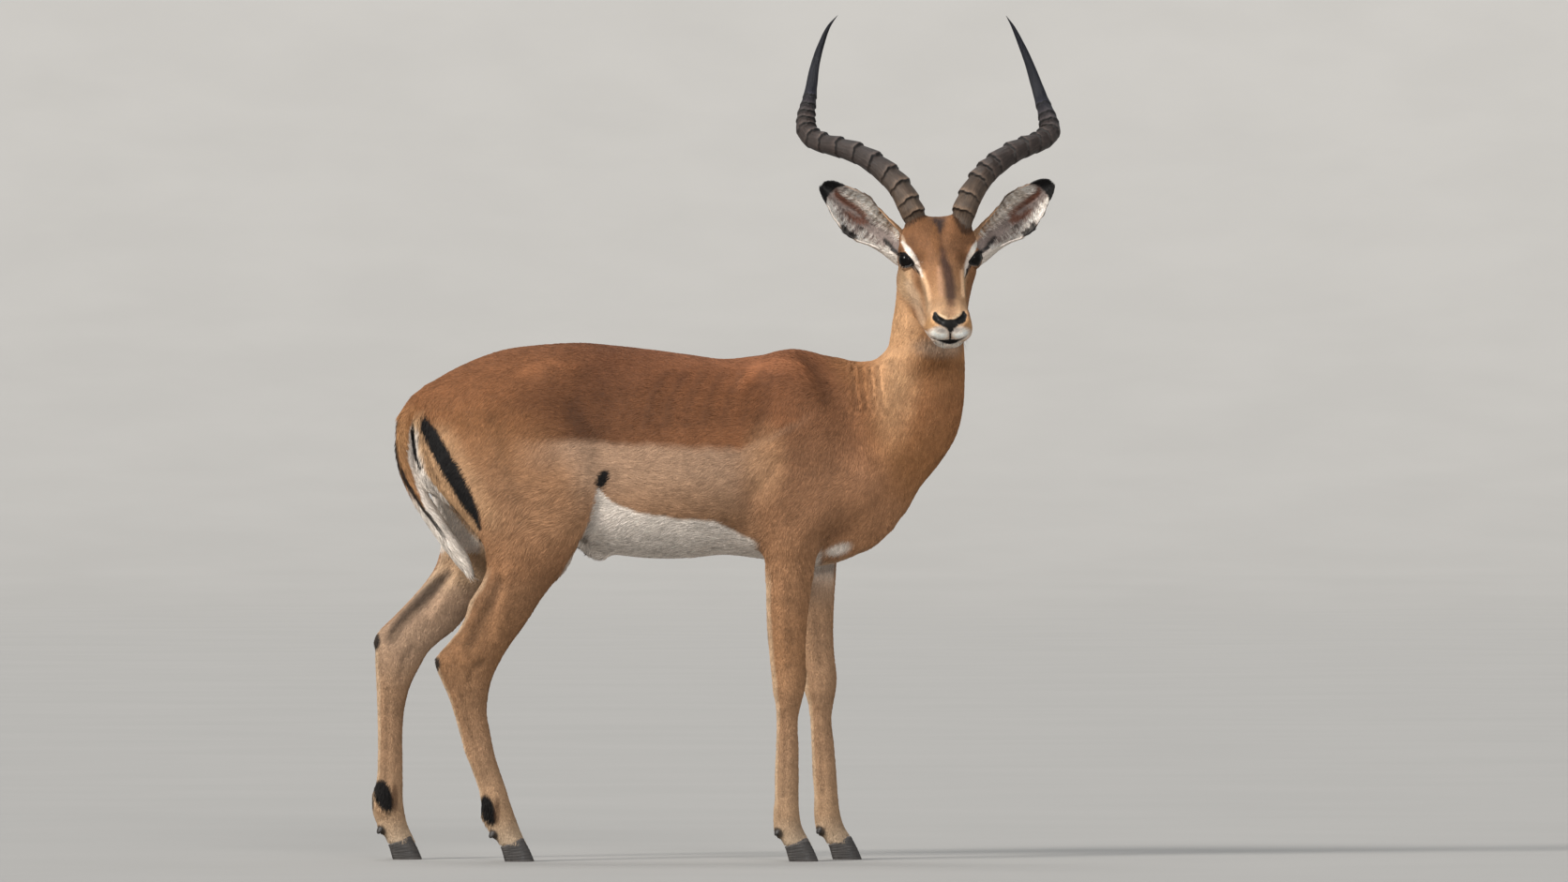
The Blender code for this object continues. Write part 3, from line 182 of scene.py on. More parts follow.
# Ears: base and tip in the design frame, then how far the upper and lower edge lie from the middle line
EAR_RIGHT = ((0.4350, -0.040, 1.074), (0.2902, -0.0237, 1.1893))
EAR_LEFT = ((0.5660, -0.032, 1.078), (0.6996, -0.0157, 1.1933))
EAR_EDGES = [(0.0, 0.0265, 0.0255), (0.12, 0.0285, 0.0255), (0.20, 0.0296, 0.0262), (0.27, 0.0304, 0.0285),
             (0.33, 0.0310, 0.0315), (0.40, 0.0326, 0.0358), (0.47, 0.0348, 0.0386), (0.53, 0.0375, 0.0392),
             (0.59, 0.0388, 0.0374), (0.66, 0.0370, 0.0334), (0.74, 0.0325, 0.0288), (0.82, 0.0283, 0.0215),
             (0.90, 0.0238, 0.0155), (0.95, 0.0195, 0.0108), (0.985, 0.0135, 0.0062), (1.0, 0.0085, 0.0030)]
EAR_CURL = [(0.0, 150.0), (0.2, 118.0), (0.5, 78.0), (0.8, 58.0), (1.0, 45.0)]
EAR_THICK = 0.0032

# Tail: middle line and half sizes across and through
TAIL = [(-0.397, 0.000, 0.8310, 0.0185, 0.0160), (-0.4125, 0.000, 0.8165, 0.0205, 0.0165),
        (-0.4345, 0.000, 0.790, 0.020, 0.0160), (-0.4455, 0.000, 0.745, 0.018, 0.014),
        (-0.441, 0.000, 0.695, 0.019, 0.014), (-0.418, -0.001, 0.640, 0.021, 0.014),
        (-0.383, -0.003, 0.585, 0.022, 0.014), (-0.349, -0.005, 0.535, 0.016, 0.012),
        (-0.326, -0.006, 0.498, 0.006, 0.005)]

# Hooves: middle of each foot at the floor, and how the claws are shaped
FEET = {"front_right": (0.2600, -0.071), "front_left": (0.3370, 0.071),
        "hind_right": (-0.2400, -0.080), "hind_left": (-0.4410, 0.080)}
CLAW_LENGTH, CLAW_WIDTH, CLAW_SPLIT = 0.0520, 0.0190, 0.0014


# ---------------------------------------------------------------- smooth solids
def smooth_min(a, b, k):
    """The lower of two numbers, rounded off where they are within k of each other."""
    h = np.clip(0.5 + 0.5 * (b - a) / k, 0.0, 1.0)
    return b + (a - b) * h - k * h * (1.0 - h)


def head_axes():
    """The head's own directions: ahead, to the animal's left, and up."""
    level = np.array((math.sin(YAW), -math.cos(YAW), 0.0))
    up = np.array((0.0, 0.0, 1.0))
    left = np.cross(up, level)
    tilted_up = up * math.cos(ROLL) - left * math.sin(ROLL)
    tilted_left = left * math.cos(ROLL) + up * math.sin(ROLL)
    ahead = level * math.cos(PITCH) - tilted_up * math.sin(PITCH)
    top = level * math.sin(PITCH) + tilted_up * math.cos(PITCH)
    return ahead, tilted_left, top


AHEAD, LEFTWARD, TOPWARD = head_axes()


def from_head(f, s, u):
    """Design place of a head place: forward of the eyes, to the animal's left, above."""
    return EYES + f * AHEAD + s * LEFTWARD + u * TOPWARD


def to_head(p):
    """Head places of design places: forward of the eyes, to the animal's left, above."""
    q = p - EYES
    return q @ AHEAD, q @ LEFTWARD, q @ TOPWARD


def along_axis(p, axis):
    """Place along an axis, and two places across it."""
    if axis == "up":
        return p[:, 2], p[:, 0], p[:, 1]
    return p.T if axis == "along" else to_head(p)


def smooth_table(rows, count=160):
    """A smooth curve through rows, by their first column."""
    rows = np.asarray(sorted(tuple(r) for r in rows), float)
    t = rows[:, 0]
    gap = np.diff(t)[:, None]
    slope = np.diff(rows, axis=0) / gap
    lean = np.empty_like(rows)
    lean[0] = slope[0]
    lean[-1] = slope[-1]
    lean[1:-1] = (slope[:-1] * gap[1:] + slope[1:] * gap[:-1]) / (gap[1:] + gap[:-1])
    x = np.linspace(t[0], t[-1], count)
    i = np.clip(np.searchsorted(t, x) - 1, 0, len(gap) - 1)
    h = gap[i]
    u = ((x - t[i]) / h[:, 0])[:, None]
    first = (2 * u ** 3 - 3 * u ** 2 + 1) * rows[i] + (u ** 3 - 2 * u ** 2 + u) * lean[i] * h
    second = (3 * u ** 2 - 2 * u ** 3) * rows[i + 1] + (u ** 3 - u ** 2) * lean[i + 1] * h
    return first + second


class Stack:
    """A solid given by its edges in sections across one axis. Rows hold the place, then low,
    middle and high edge in one direction, the same in the other, and the squareness."""

    def __init__(self, axis, rows, blend, cap):
        curve = smooth_table(rows)
        self.axis, self.blend, self.cap = axis, blend, cap
        self.t = curve[:, 0]
        a0, am, a1, b0, bm, b1, power = curve[:, 1:].T
        self.shape = np.stack([am, bm, am - a0, a1 - am, bm - b0, b1 - bm, power], 1)
        self.slope = np.gradient(self.shape, self.t, axis=0)
        corner = np.concatenate([np.stack([self.t, a, b], 1) for a in (a0, a1) for b in (b0, b1)])
        if axis == "up":
            corner = corner[:, [1, 2, 0]]
        elif axis == "head":
            corner = EYES + corner[:, :1] * AHEAD + corner[:, 1:2] * LEFTWARD + corner[:, 2:] * TOPWARD
        self.low = corner.min(0) - blend - 0.012
        self.high = corner.max(0) + blend + 0.012

    def distance(self, p):
        t, a, b = along_axis(p, self.axis)
        held = np.clip(t, self.t[0], self.t[-1])
        now = [np.interp(held, self.t, self.shape[:, i]) for i in range(7)]
        rate = [np.interp(held, self.t, self.slope[:, i]) for i in range(6)]
        qa, qb = a - now[0], b - now[1]
        ra = np.maximum(np.where(qa < 0, now[2], now[3]), 1e-4)
        rb = np.maximum(np.where(qb < 0, now[4], now[5]), 1e-4)
        grow_a = np.where(qa < 0, rate[2], rate[3])
        grow_b = np.where(qb < 0, rate[4], rate[5])
        ea = np.abs(qa / ra) ** now[6]
        eb = np.abs(qb / rb) ** now[6]
        total = np.maximum(ea + eb, 1e-9)
        share = total ** (1 / now[6])
        length = np.sqrt(qa * qa + qb * qb)
        reach = np.where(share > 0.05, length / np.maximum(share, 1e-6), np.minimum(ra, rb))
        safe = np.maximum(length, 1e-6)
        lean = (rate[0] * qa + rate[1] * qb) / safe
        lean = lean + reach * (ea * grow_a / ra + eb * grow_b / rb) / total
        across = (length - reach) / np.sqrt(1 + lean * lean) + self.cap
        past = np.maximum(self.t[0] - t, t - self.t[-1]) + self.cap
        outside = np.sqrt(np.maximum(across, 0) ** 2 + np.maximum(past, 0) ** 2)
        return np.minimum(np.maximum(across, past), 0) + outside - self.cap


SWELL_REACH = 2.2           # a swelling ends this many times its reach from its line


class Swell:
    """A soft swelling along a line, or a hollow when its height is negative."""

    def __init__(self, line, reach, height):
        self.line = np.asarray(line, float)
        self.reach, self.height = reach, height
        self.low = self.line.min(0) - SWELL_REACH * reach
        self.high = self.line.max(0) + SWELL_REACH * reach

    def amount(self, p):
        near = ((p - self.line[0]) ** 2).sum(1)
        for a, b in zip(self.line[:-1], self.line[1:]):
            ab = b - a
            u = np.clip(((p - a) @ ab) / (ab @ ab), 0, 1)
            near = np.minimum(near, ((p - a - u[:, None] * ab) ** 2).sum(1))
        trail = np.clip((SWELL_REACH - np.sqrt(near) / self.reach) * 2, 0, 1)
        return self.height * np.exp(-near / self.reach ** 2) * trail


def leg_stack(rows, side, sway=(0.0, 0.0)):
    """A leg from its table, on one side, moved forward by the sway."""
    out = []
    for z, rear, front, y, half in rows:
        dx = sway[0] - sway[1] * z
        middle = side * y
        edges = (rear + dx, (rear + front) / 2 + dx, front + dx)
        out.append((z, *edges, middle - half, middle, middle + half, 2.0))
    return Stack("up", out, 0.035, 0.012)


def flesh():
    """The masses of the body, and the swellings on them."""
    masses = [Stack("along", [(x, -h, 0, h, z0, zm, z1, n) for x, z0, zm, z1, h, n in TRUNK], 0.035, 0.02)]
    neck = [(z, r, (r + f) / 2, f, y - h, y, y + h, 2.0) for z, r, f, y, h in NECK]
    masses.append(Stack("up", neck, 0.045, 0.02))
    masses.append(leg_stack(FORE, -1))
    masses.append(leg_stack(FORE, 1, sway=SWAY_FRONT))
    masses.append(leg_stack(HIND_RIGHT, -1))
    masses.append(leg_stack(HIND_LEFT, 1))
    head = [(f, -h, 0, h, u0, um, u1, n) for f, h, u0, um, u1, n in HEAD]
    masses.append(Stack("head", head, 0.025, 0.014))
    jaw = [(f, -h, 0, h, u0, um, u1, n) for f, h, u0, um, u1, n in JAW]
    masses.append(Stack("head", jaw, 0.015, 0.010))
    swells = [Swell(*SHEATH)]
    for x, y, z in DEWCLAWS:
        for side in (-DEWCLAW_SPREAD, DEWCLAW_SPREAD):
            line = [(x, y + side, z + 0.004), (x - 0.002, y + side, z - 0.004)]
            swells.append(Swell(line, DEWCLAW_REACH, DEWCLAW_HEIGHT))
    for line, reach, height in BODY_SWELLS:
        swells.append(Swell(line, reach, height))
        swells.append(Swell([(x, -y, z) for x, y, z in line], reach, height))
    for line, reach, height in FACE_SWELLS:
        swells.append(Swell([from_head(f, s, u) for f, s, u in line], reach, height))
        swells.append(Swell([from_head(f, -s, u) for f, s, u in line], reach, height))
    return masses, swells


def field(points, masses, swells):
    """Signed distance, roughly: below zero inside the flesh."""
    out = np.full(len(points), 1.0)
    for m in masses:
        inside = np.flatnonzero(((points > m.low) & (points < m.high)).all(1))
        if len(inside):
            out[inside] = smooth_min(out[inside], m.distance(points[inside]), m.blend)
    for w in swells:
        inside = np.flatnonzero(((points > w.low) & (points < w.high)).all(1) & (np.abs(out) < 0.05))
        if len(inside):
            out[inside] -= w.amount(points[inside])
    return out


def parts_of(axis, *cuts):
    """For each cut along one axis, the index of all that it leaves of a grid."""
    return [tuple(cut if a == axis else slice(None) for a in range(3)) for cut in cuts]


LOWER, UPPER, EVEN, ODD = slice(0, -1), slice(1, None), slice(0, None, 2), slice(1, None, 2)


def refine(value):
    """The same grid with twice as many steps each way."""
    for a in range(3):
        lower, upper, even, odd = parts_of(a, LOWER, UPPER, EVEN, ODD)
        shape = list(value.shape)
        shape[a] = 2 * value.shape[a] - 1
        finer = np.empty(shape)
        finer[even] = value
        finer[odd] = 0.5 * (value[lower] + value[upper])
        value = finer
    return value


def surface_net(axes, value):
    """Quads around the zero level: one point in each cell that the surface crosses."""
    inside = value < 0
    n = value.shape
    count = np.zeros([m - 1 for m in n], np.int8)
    for i, j, k in np.ndindex(2, 2, 2):
        count += inside[i:n[0] - 1 + i, j:n[1] - 1 + j, k:n[2] - 1 + k]
    crossed = (count > 0) & (count < 8)
    cells = np.argwhere(crossed)
    index = np.full(crossed.shape, -1, np.int64)
    index[crossed] = np.arange(len(cells))
    total = np.zeros((len(cells), 3))
    hits = np.zeros(len(cells))
    for a in range(3):
        for pair in np.ndindex(2, 2):
            start = np.insert(pair, a, 0)
            c0, c1 = cells + start, cells + start + np.eye(3, dtype=int)[a]
            v0, v1 = value[tuple(c0.T)], value[tuple(c1.T)]
            cross = (v0 < 0) != (v1 < 0)
            t = np.where(cross, v0 / np.where(cross, v0 - v1, 1), 0)
            p0, p1 = (np.stack([axes[x][c[:, x]] for x in range(3)], 1) for c in (c0, c1))
            total += np.where(cross[:, None], p0 + (p1 - p0) * t[:, None], 0)
            hits += cross
    quads = []
    for a in range(3):
        b, c = (a + 1) % 3, (a + 2) % 3
        lower, upper = parts_of(a, LOWER, UPPER)
        edge = np.argwhere(inside[lower] != inside[upper])
        keep = (edge[:, b] > 0) & (edge[:, c] > 0) & (edge[:, b] < n[b] - 1) & (edge[:, c] < n[c] - 1)
        edge = edge[keep]
        from_inside = inside[tuple(edge.T)]
        ring = []
        for db, dc in ((-1, -1), (0, -1), (0, 0), (-1, 0)):
            q = edge.copy()
            q[:, b] += db
            q[:, c] += dc
            ring.append(index[tuple(q.T)])
        ring = np.stack(ring, 1)
        ring[~from_inside] = ring[~from_inside][:, ::-1]
        quads.append(ring)
    return total / hits[:, None], np.concatenate(quads)


def unit(v):
    return v / np.maximum(np.linalg.norm(v, axis=-1, keepdims=True), 1e-12)


def run_along(points):
    """How far along a line each of its points lies."""
    return np.concatenate([[0], np.cumsum(np.linalg.norm(np.diff(points, axis=0), axis=1))])


def circle(sides):
    """Angles of points evenly round a circle."""
    return np.arange(sides) * 2 * math.pi / sides


def smooth_line(rows, count):
    """Evenly spaced rows along a smooth curve through the given rows."""
    rows = np.asarray(rows, float)
    curve = smooth_table(np.column_stack([run_along(rows[:, :3]), rows]), 400)[:, 1:]
    run = run_along(curve[:, :3])
    want = np.linspace(0, run[-1], count)
    return np.stack([np.interp(want, run, curve[:, i]) for i in range(curve.shape[1])], 1)


def frames(line, side):
    """Across and through directions along a line, starting from a wanted side."""
    forward = unit(np.gradient(line, axis=0))
    across = []
    side = np.asarray(side, float)
    for t in forward:
        side = unit(side - (side @ t) * t)
        across.append(side)
    across = np.array(across)
    return across, np.cross(forward, across)


# ---------------------------------------------------------------- places from the frame
def middle(node):
    low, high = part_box(node)
    return (np.array(low) + np.array(high)) / 2


SHIFT = (middle("eye_left") + middle("eye_right")) / 2 - EYES   # design frame to row frame
COAT = 0.0022               # how far the skin lies under the coat's outline
STEP = 0.0052               # size of the skin's faces on the trunk
HEAD_ZONE, LEG_ZONE = 0.135, 0.36         # faces half as large this near the head and below this height
MUZZLE_ZONE, EYE_ZONE = 0.056, 0.034      # and half as large again this near the muzzle and the eyes
FLESH_BOX = (-0.54, -0.28, -0.02), (0.60, 0.18, 1.19)   # corners of the space that holds all the skin
GAZE = math.radians(44.0)   # the eyes look this far to the sides
EYE_TILT = math.radians(27.0)   # of the long axis of an eye's opening
PIECE_TUFTS = 49000         # the most tufts in one piece of coat
COVER, NECK_COVER = 1.60, 0.10   # area of the tufts to that of the skin, and how much more on the neck
FLOOR_GAP = 0.0002          # the studio floor lies this far under the hooves
LID_INNER, LID_OUTER, LID_UPPER, LID_LOWER, LID_POINT = 56.0, 47.0, 30.0, 37.0, 1.55   # opening, in degrees
HORN_SUNK, HORN_NARROWED = 0.0070, 0.13   # how far the foot of a horn is set back, and its narrowing
LEVEL = AHEAD * math.cos(PITCH) + TOPWARD * math.sin(PITCH)
THROAT, THROAT_TILT = np.array((0.49, -0.028, 1.000)), np.array((0.0501, -0.6217, 0.7817))
WITHERS, WITHERS_LEAN = np.array((0.350, 0.0, 0.800)), np.array((0.9326, 0.0, 0.3610))

# Folds, in the side view (place along, height), on both sides: line, reach, height
SIDE_LINES = [([(0.410, 0.880), (0.427, 0.835), (0.434, 0.770)], 0.008, -0.0026),
              ([(0.150, 0.842), (0.178, 0.866), (0.210, 0.877), (0.250, 0.872)], 0.014, 0.0036),
              ([(0.262, 0.886), (0.287, 0.856), (0.303, 0.815)], 0.013, -0.0034),
              ([(0.195, 0.850), (0.185, 0.800), (0.178, 0.750)], 0.014, -0.0030),
              ([(-0.235, 0.860), (-0.195, 0.880), (-0.150, 0.872)], 0.014, 0.0020),
              ([(-0.150, 0.800), (-0.120, 0.740), (-0.112, 0.690)], 0.016, -0.0034),
              ([(-0.290, 0.780), (-0.270, 0.700), (-0.235, 0.600)], 0.014, -0.0020),
              ([(-0.092, 0.668), (-0.100, 0.648), (-0.105, 0.625), (-0.111, 0.600), (-0.126, 0.568),
                (-0.140, 0.545)],
               0.0065, -0.0060),
              ([(-0.112, 0.650), (-0.118, 0.625), (-0.124, 0.600), (-0.139, 0.568)], 0.0080, 0.0022),
              ([(-0.4195, 0.762), (-0.4150, 0.735), (-0.4020, 0.700), (-0.3850, 0.665)], 0.0060, -0.0040)]
SIDE_LINES += [([(0.016 + 0.034 * k, 0.862), (-0.006 + 0.034 * k, 0.822), (-0.018 + 0.034 * k, 0.770)],
                0.0075, -0.0032) for k in range(6)]
NECK_FOLD = [(0.0000, 0.870), (0.0015, 0.852), (0.0035, 0.834), (0.0060, 0.816), (0.0095, 0.798)]
SIDE_LINES += [([(0.344 + 0.0072 * k + shift, z) for shift, z in NECK_FOLD], 0.0046,
                (-0.0044, 0.0024)[k % 2])
               for k in range(8)]
# The same on the legs: which leg, line, reach, height; both faces of the leg
LEG_LINES = [(-1, [(-0.276, 0.492), (-0.298, 0.445), (-0.318, 0.410), (-0.326, 0.385)], 0.0095, -0.0050),
             (1, [(-0.385, 0.492), (-0.424, 0.445), (-0.456, 0.412), (-0.470, 0.390)], 0.0095, -0.0085),
             (-1, [(-0.262, 0.520), (-0.268, 0.470), (-0.278, 0.425), (-0.284, 0.390)], 0.0100, 0.0030),
             (-1, [(-0.262, 0.478), (-0.259, 0.452), (-0.267, 0.425), (-0.262, 0.402)], 0.0030, 0.0013),
             (1, [(-0.350, 0.520), (-0.372, 0.470), (-0.398, 0.430)], 0.0100, 0.0026),
             (-1, [(-0.304, 0.352), (-0.322, 0.338), (-0.330, 0.318)], 0.0070, -0.0026),
             (1, [(-0.432, 0.376), (-0.448, 0.352), (-0.452, 0.325)], 0.0070, -0.0026),
             (-1, [(-0.350, 0.372), (-0.338, 0.350)], 0.0080, 0.0020),
             (-1, [(-0.342, 0.290), (-0.326, 0.225), (-0.298, 0.135)], 0.0045, -0.0034),
             (1, [(-0.476, 0.300), (-0.478, 0.220), (-0.479, 0.140)], 0.0045, -0.0034),
             (-1, [(0.2265, 0.265), (0.2260, 0.190), (0.2245, 0.115)], 0.0042, -0.0030),
             (1, [(0.2845, 0.265), (0.2895, 0.190), (0.2940, 0.115)], 0.0042, -0.0030),
             (-1, [(0.232, 0.480), (0.236, 0.400), (0.238, 0.345)], 0.0090, -0.0018),
             (1, [(0.274, 0.480), (0.284, 0.400), (0.290, 0.345)], 0.0090, -0.0018),
             (-1, [(-0.372, 0.352)], 0.012, 0.0022), (1, [(-0.487, 0.378)], 0.012, 0.0022)]
# The same on the face, in the front view (across, height)
FACE_LINES = [([(0.4490, 1.0515), (0.4555, 1.0455), (0.4605, 1.0370)], 0.0036, -0.0020),
              ([(0.5520, 1.0560), (0.5470, 1.0460), (0.5430, 1.0350)], 0.0036, -0.0020),
              ([(0.4790, 0.9232), (0.4870, 0.9196), (0.4956, 0.9163), (0.5045, 0.9149), (0.5160, 0.9142),
                (0.5255, 0.9152),
                (0.5340, 0.9176), (0.5450, 0.9228)], 0.0034, -0.0060),
              ([(0.5164, 0.9320), (0.5160, 0.9190)], 0.0022, -0.0034),
              ([(0.4905, 0.9600), (0.4930, 0.9535), (0.4990, 0.9500)], 0.0046, -0.0120),
              ([(0.5400, 0.9605), (0.5385, 0.9545), (0.5335, 0.9508)], 0.0046, -0.0120),
              ([(0.4850, 0.9640), (0.4855, 0.9510), (0.4930, 0.9430)], 0.0046, 0.0024),
              ([(0.5462, 0.9645), (0.5450, 0.9515), (0.5375, 0.9430)], 0.0046, 0.0024),
              ([(0.4960, 0.9630), (0.5050, 0.9580), (0.5160, 0.9545), (0.5270, 0.9590), (0.5350, 0.9640)],
               0.0050, 0.0026),
              ([(0.4895, 0.9270), (0.5020, 0.9240)], 0.0080, 0.0020),
              ([(0.5290, 0.9250), (0.5410, 0.9280)], 0.0080, 0.0020),
              ([(0.5010, 0.9000), (0.5160, 0.8985), (0.5290, 0.9005)], 0.0080, 0.0014),
              ([(0.4320, 1.0850), (0.4405, 1.0745), (0.4485, 1.0620)], 0.0070, 0.0024),
              ([(0.5625, 1.0850), (0.5545, 1.0730), (0.5480, 1.0600)], 0.0070, 0.0024),
              ([(0.4480, 1.0950), (0.4560, 1.0750), (0.4640, 1.0550)], 0.0080, -0.0022),
              ([(0.5510, 1.0950), (0.5440, 1.0750), (0.5370, 1.0550)], 0.0080, -0.0022),
              ([(0.4700, 1.0290), (0.4765, 1.0125), (0.4800, 0.9900)], 0.0060, 0.0026),
              ([(0.4600, 1.0200), (0.4690, 0.9980), (0.4740, 0.9780)], 0.0090, -0.0030),
              ([(0.5377, 1.0357), (0.5385, 1.0158), (0.5393, 0.9950)], 0.0050, 0.0022),
              ([(0.5440, 1.0250), (0.5460, 1.0000), (0.5470, 0.9780)], 0.0080, -0.0026),
              ([(0.4420, 1.0330), (0.4460, 1.0130), (0.4500, 0.9960)], 0.0080, 0.0016),
              ([(0.5020, 1.1250), (0.5030, 1.0800)], 0.0080, -0.0016)]

# Markings, in linear colour
BLACK = np.array((0.0085, 0.0075, 0.0075))
WHITE = np.array((0.75, 0.67, 0.595))
SADDLE = [(0.70, (0.185, 0.080, 0.036)), (0.76, (0.150, 0.062, 0.027)), (0.82, (0.140, 0.056, 0.024)),
          (0.92, (0.175, 0.070, 0.034))]
FLANK = [(0.60, (0.27, 0.148, 0.080)), (0.64, (0.33, 0.195, 0.116)), (0.68, (0.375, 0.235, 0.150)),
         (0.74, (0.385, 0.243, 0.158))]
HAUNCH = [(0.48, (0.24, 0.115, 0.053)), (0.54, (0.32, 0.165, 0.083)), (0.60, (0.385, 0.208, 0.110)),
          (0.66, (0.330, 0.176, 0.092)), (0.72, (0.31, 0.155, 0.074)), (0.77, (0.255, 0.115, 0.048)),
          (0.82, (0.225, 0.095, 0.040)), (0.90, (0.195, 0.080, 0.036))]
SHOULDER = [(0.50, (0.34, 0.178, 0.090)), (0.58, (0.28, 0.142, 0.072)), (0.68, (0.245, 0.122, 0.063)),
            (0.76, (0.215, 0.098, 0.047)), (0.86, (0.165, 0.068, 0.031))]
NECK_FUR = [(0.60, (0.34, 0.165, 0.074)), (0.70, (0.31, 0.142, 0.058)), (0.80, (0.29, 0.130, 0.055)),
            (0.90, (0.35, 0.168, 0.072)), (0.98, (0.39, 0.195, 0.086))]
LEG_FUR = [(0.03, (0.46, 0.345, 0.24)), (0.08, (0.39, 0.250, 0.148)), (0.20, (0.36, 0.213, 0.121)),
           (0.36, (0.335, 0.174, 0.084)), (0.52, (0.355, 0.186, 0.096))]
FACE_FUR = [(-0.11, (0.26, 0.120, 0.052)), (-0.03, (0.225, 0.104, 0.047)), (0.03, (0.26, 0.125, 0.060)),
            (0.08, (0.36, 0.185, 0.088)), (0.12, (0.44, 0.250, 0.130)), (0.16, (0.50, 0.310, 0.178))]
SADDLE_EDGE = [(-0.30, 0.748), (-0.15, 0.740), (-0.10, 0.735), (0.0, 0.735), (0.05, 0.727),
               (0.10, 0.722), (0.15, 0.728), (0.20, 0.745), (0.25, 0.770), (0.30, 0.800)]
BELLY_EDGE = [(-0.150, 0.660), (-0.100, 0.655), (-0.077, 0.631), (-0.028, 0.612), (0.000, 0.609),
              (0.050, 0.602), (0.100, 0.600), (0.120, 0.590), (0.150, 0.575), (0.185, 0.558),
              (0.360, 0.546)]
THIGH_FRONT = [(0.500, -0.170), (0.545, -0.143), (0.565, -0.132), (0.603, -0.1155), (0.625, -0.110),
               (0.655, -0.104), (0.680, -0.100)]
STRIPE = [(-0.4065, 0.772, 0.0085), (-0.4005, 0.758, 0.0125), (-0.3803, 0.7190, 0.0140),
          (-0.3570, 0.6805, 0.0145), (-0.3360, 0.6419, 0.0125), (-0.3200, 0.6143, 0.0090),
          (-0.3100, 0.5860, 0.0025)]
CREASE = [(-0.4300, 0.766, 0.0030), (-0.4285, 0.745, 0.0052), (-0.4240, 0.715, 0.0040),
          (-0.4140, 0.690, 0.0010)]
RUMP_WHITE = [(0.56, -0.312), (0.5815, -0.334), (0.6256, -0.368), (0.6808, -0.4025), (0.7358, -0.4160),
              (0.775, -0.421)]
TAIL_REAR = [(0.493, -0.318), (0.515, -0.338), (0.548, -0.366), (0.576, -0.388), (0.6254, -0.423),
             (0.664, -0.443), (0.708, -0.459), (0.752, -0.462), (0.785, -0.456), (0.8046, -0.448),
             (0.827, -0.426)]
GLANDS = [(-1, -0.2945, 0.0895, 0.0120, 0.0270), (1, -0.4825, 0.1110, 0.0155, 0.0290)]
HOCKS = [(-1, -0.3885, 0.3470, 0.0090, 0.0135), (1, -0.4985, 0.3855, 0.0095, 0.0170)]
NOSE = [(0.4898, 0.9632, 0.0026), (0.4908, 0.9560, 0.0054), (0.4963, 0.9514, 0.0060),
        (0.5046, 0.9474, 0.0056), (0.5163, 0.9431, 0.0083), (0.5280, 0.9482, 0.0058),
        (0.5368, 0.9530, 0.0062), (0.5405, 0.9598, 0.0042), (0.5395, 0.9655, 0.0018)]
NOSE_FOOT = [(0.5163, 0.9431, 0.0095), (0.5166, 0.9370, 0.0056), (0.5167, 0.9325, 0.0020)]


# ---------------------------------------------------------------- skin
def smooth(v, a, b):
    """0 below a, and 1 above b."""
    t = np.clip((v - a) / (b - a), 0.0, 1.0)
    return t * t * (3 - 2 * t)


def fade(v, a, b):
    """1 below a, and 0 above b."""
    return 1 - smooth(v, a, b)


def band(v, a, b, c, d):
    """1 between b and c, and 0 below a and above d."""
    return smooth(v, a, b) * fade(v, c, d)


def wander(p, size, seed=0):
    """Soft noise, mostly between -1 and 1, that changes over about this distance."""
    pick = np.random.default_rng(100 + seed)
    total = np.zeros(len(p))
    for k in range(7):
        way = unit(pick.normal(size=3)) * (0.7 + 0.16 * k)
        turned = unit(pick.normal(size=3)) * 0.5
        total += np.sin(p @ way * 2.2 / size + 1.3 * np.sin(p @ turned * 1.7 / size + k) + 2.1 * k)
    return total / 3.0


def coat_depth(p):
    """How far the skin lies under the coat's outline."""
    near_head = fade(np.linalg.norm(p - EYES - 0.06 * AHEAD, axis=1), 0.12, 0.18)
    low = fade(p[:, 2], 0.06, 0.22)
    foot = fade(p[:, 2] - CORONET, -0.012, -0.002)
    return COAT * (1 - 0.62 * np.maximum(near_head, low)) + 0.0038 * foot


def skin_level(p):
    """Signed distance of the bare skin."""
    return field(p, MASSES, SWELLS) + coat_depth(p)


def tail_stack():
    rows = np.asarray(TAIL, float)
    run = np.gradient(rows[:, 0]) / np.gradient(rows[:, 2])
    out = []
    for (x, y, z, wide, deep), lean in zip(TAIL, run):
        half = deep * min(1.7, math.sqrt(1 + lean * lean))
        out.append((z, x - half, x, x + half * 1.35, y - wide, y, y + wide, 2.0))
    return Stack("up", out, 0.007, 0.008)


def meet_flesh(start, way):
    """Where straight lines from outside first enter the flesh."""
    place = np.array(start, float)
    for _ in range(90):
        gap = field(place, MASSES, SWELLS)
        place = place + np.clip(gap * 0.7, 0.0, 0.02)[:, None] * way
    return place


def side_swell(line, reach, height, side, inner=False):
    """A swelling along a line of the side view, on the outer or the inner face of one side."""
    start = np.array([(x, 0.0 if inner else side * 0.32, z) for x, z in line])
    return Swell(meet_flesh(start, np.array((0.0, side if inner else -side, 0.0))), reach, height)


def grid_levels(low, high, step, level):
    """Values on a grid, worked out only near the surface: coarse first, then finer."""
    counts = [int(math.ceil((b - a) / step / 4)) * 4 + 1 for a, b in zip(low, high)]
    value = None
    for coarse in (4, 2, 1):
        axes = [low[i] + step * coarse * np.arange((counts[i] - 1) // coarse + 1) for i in range(3)]
        if value is None:
            mesh = np.meshgrid(*axes, indexing="ij")
            value = level(np.stack([m.ravel() for m in mesh], 1)).reshape(mesh[0].shape)
            continue
        value = refine(value)
        near = np.argwhere(np.abs(value) < step * coarse * 3.2)
        value[tuple(near.T)] = level(np.stack([axes[i][near[:, i]] for i in range(3)], 1))
    return axes, value


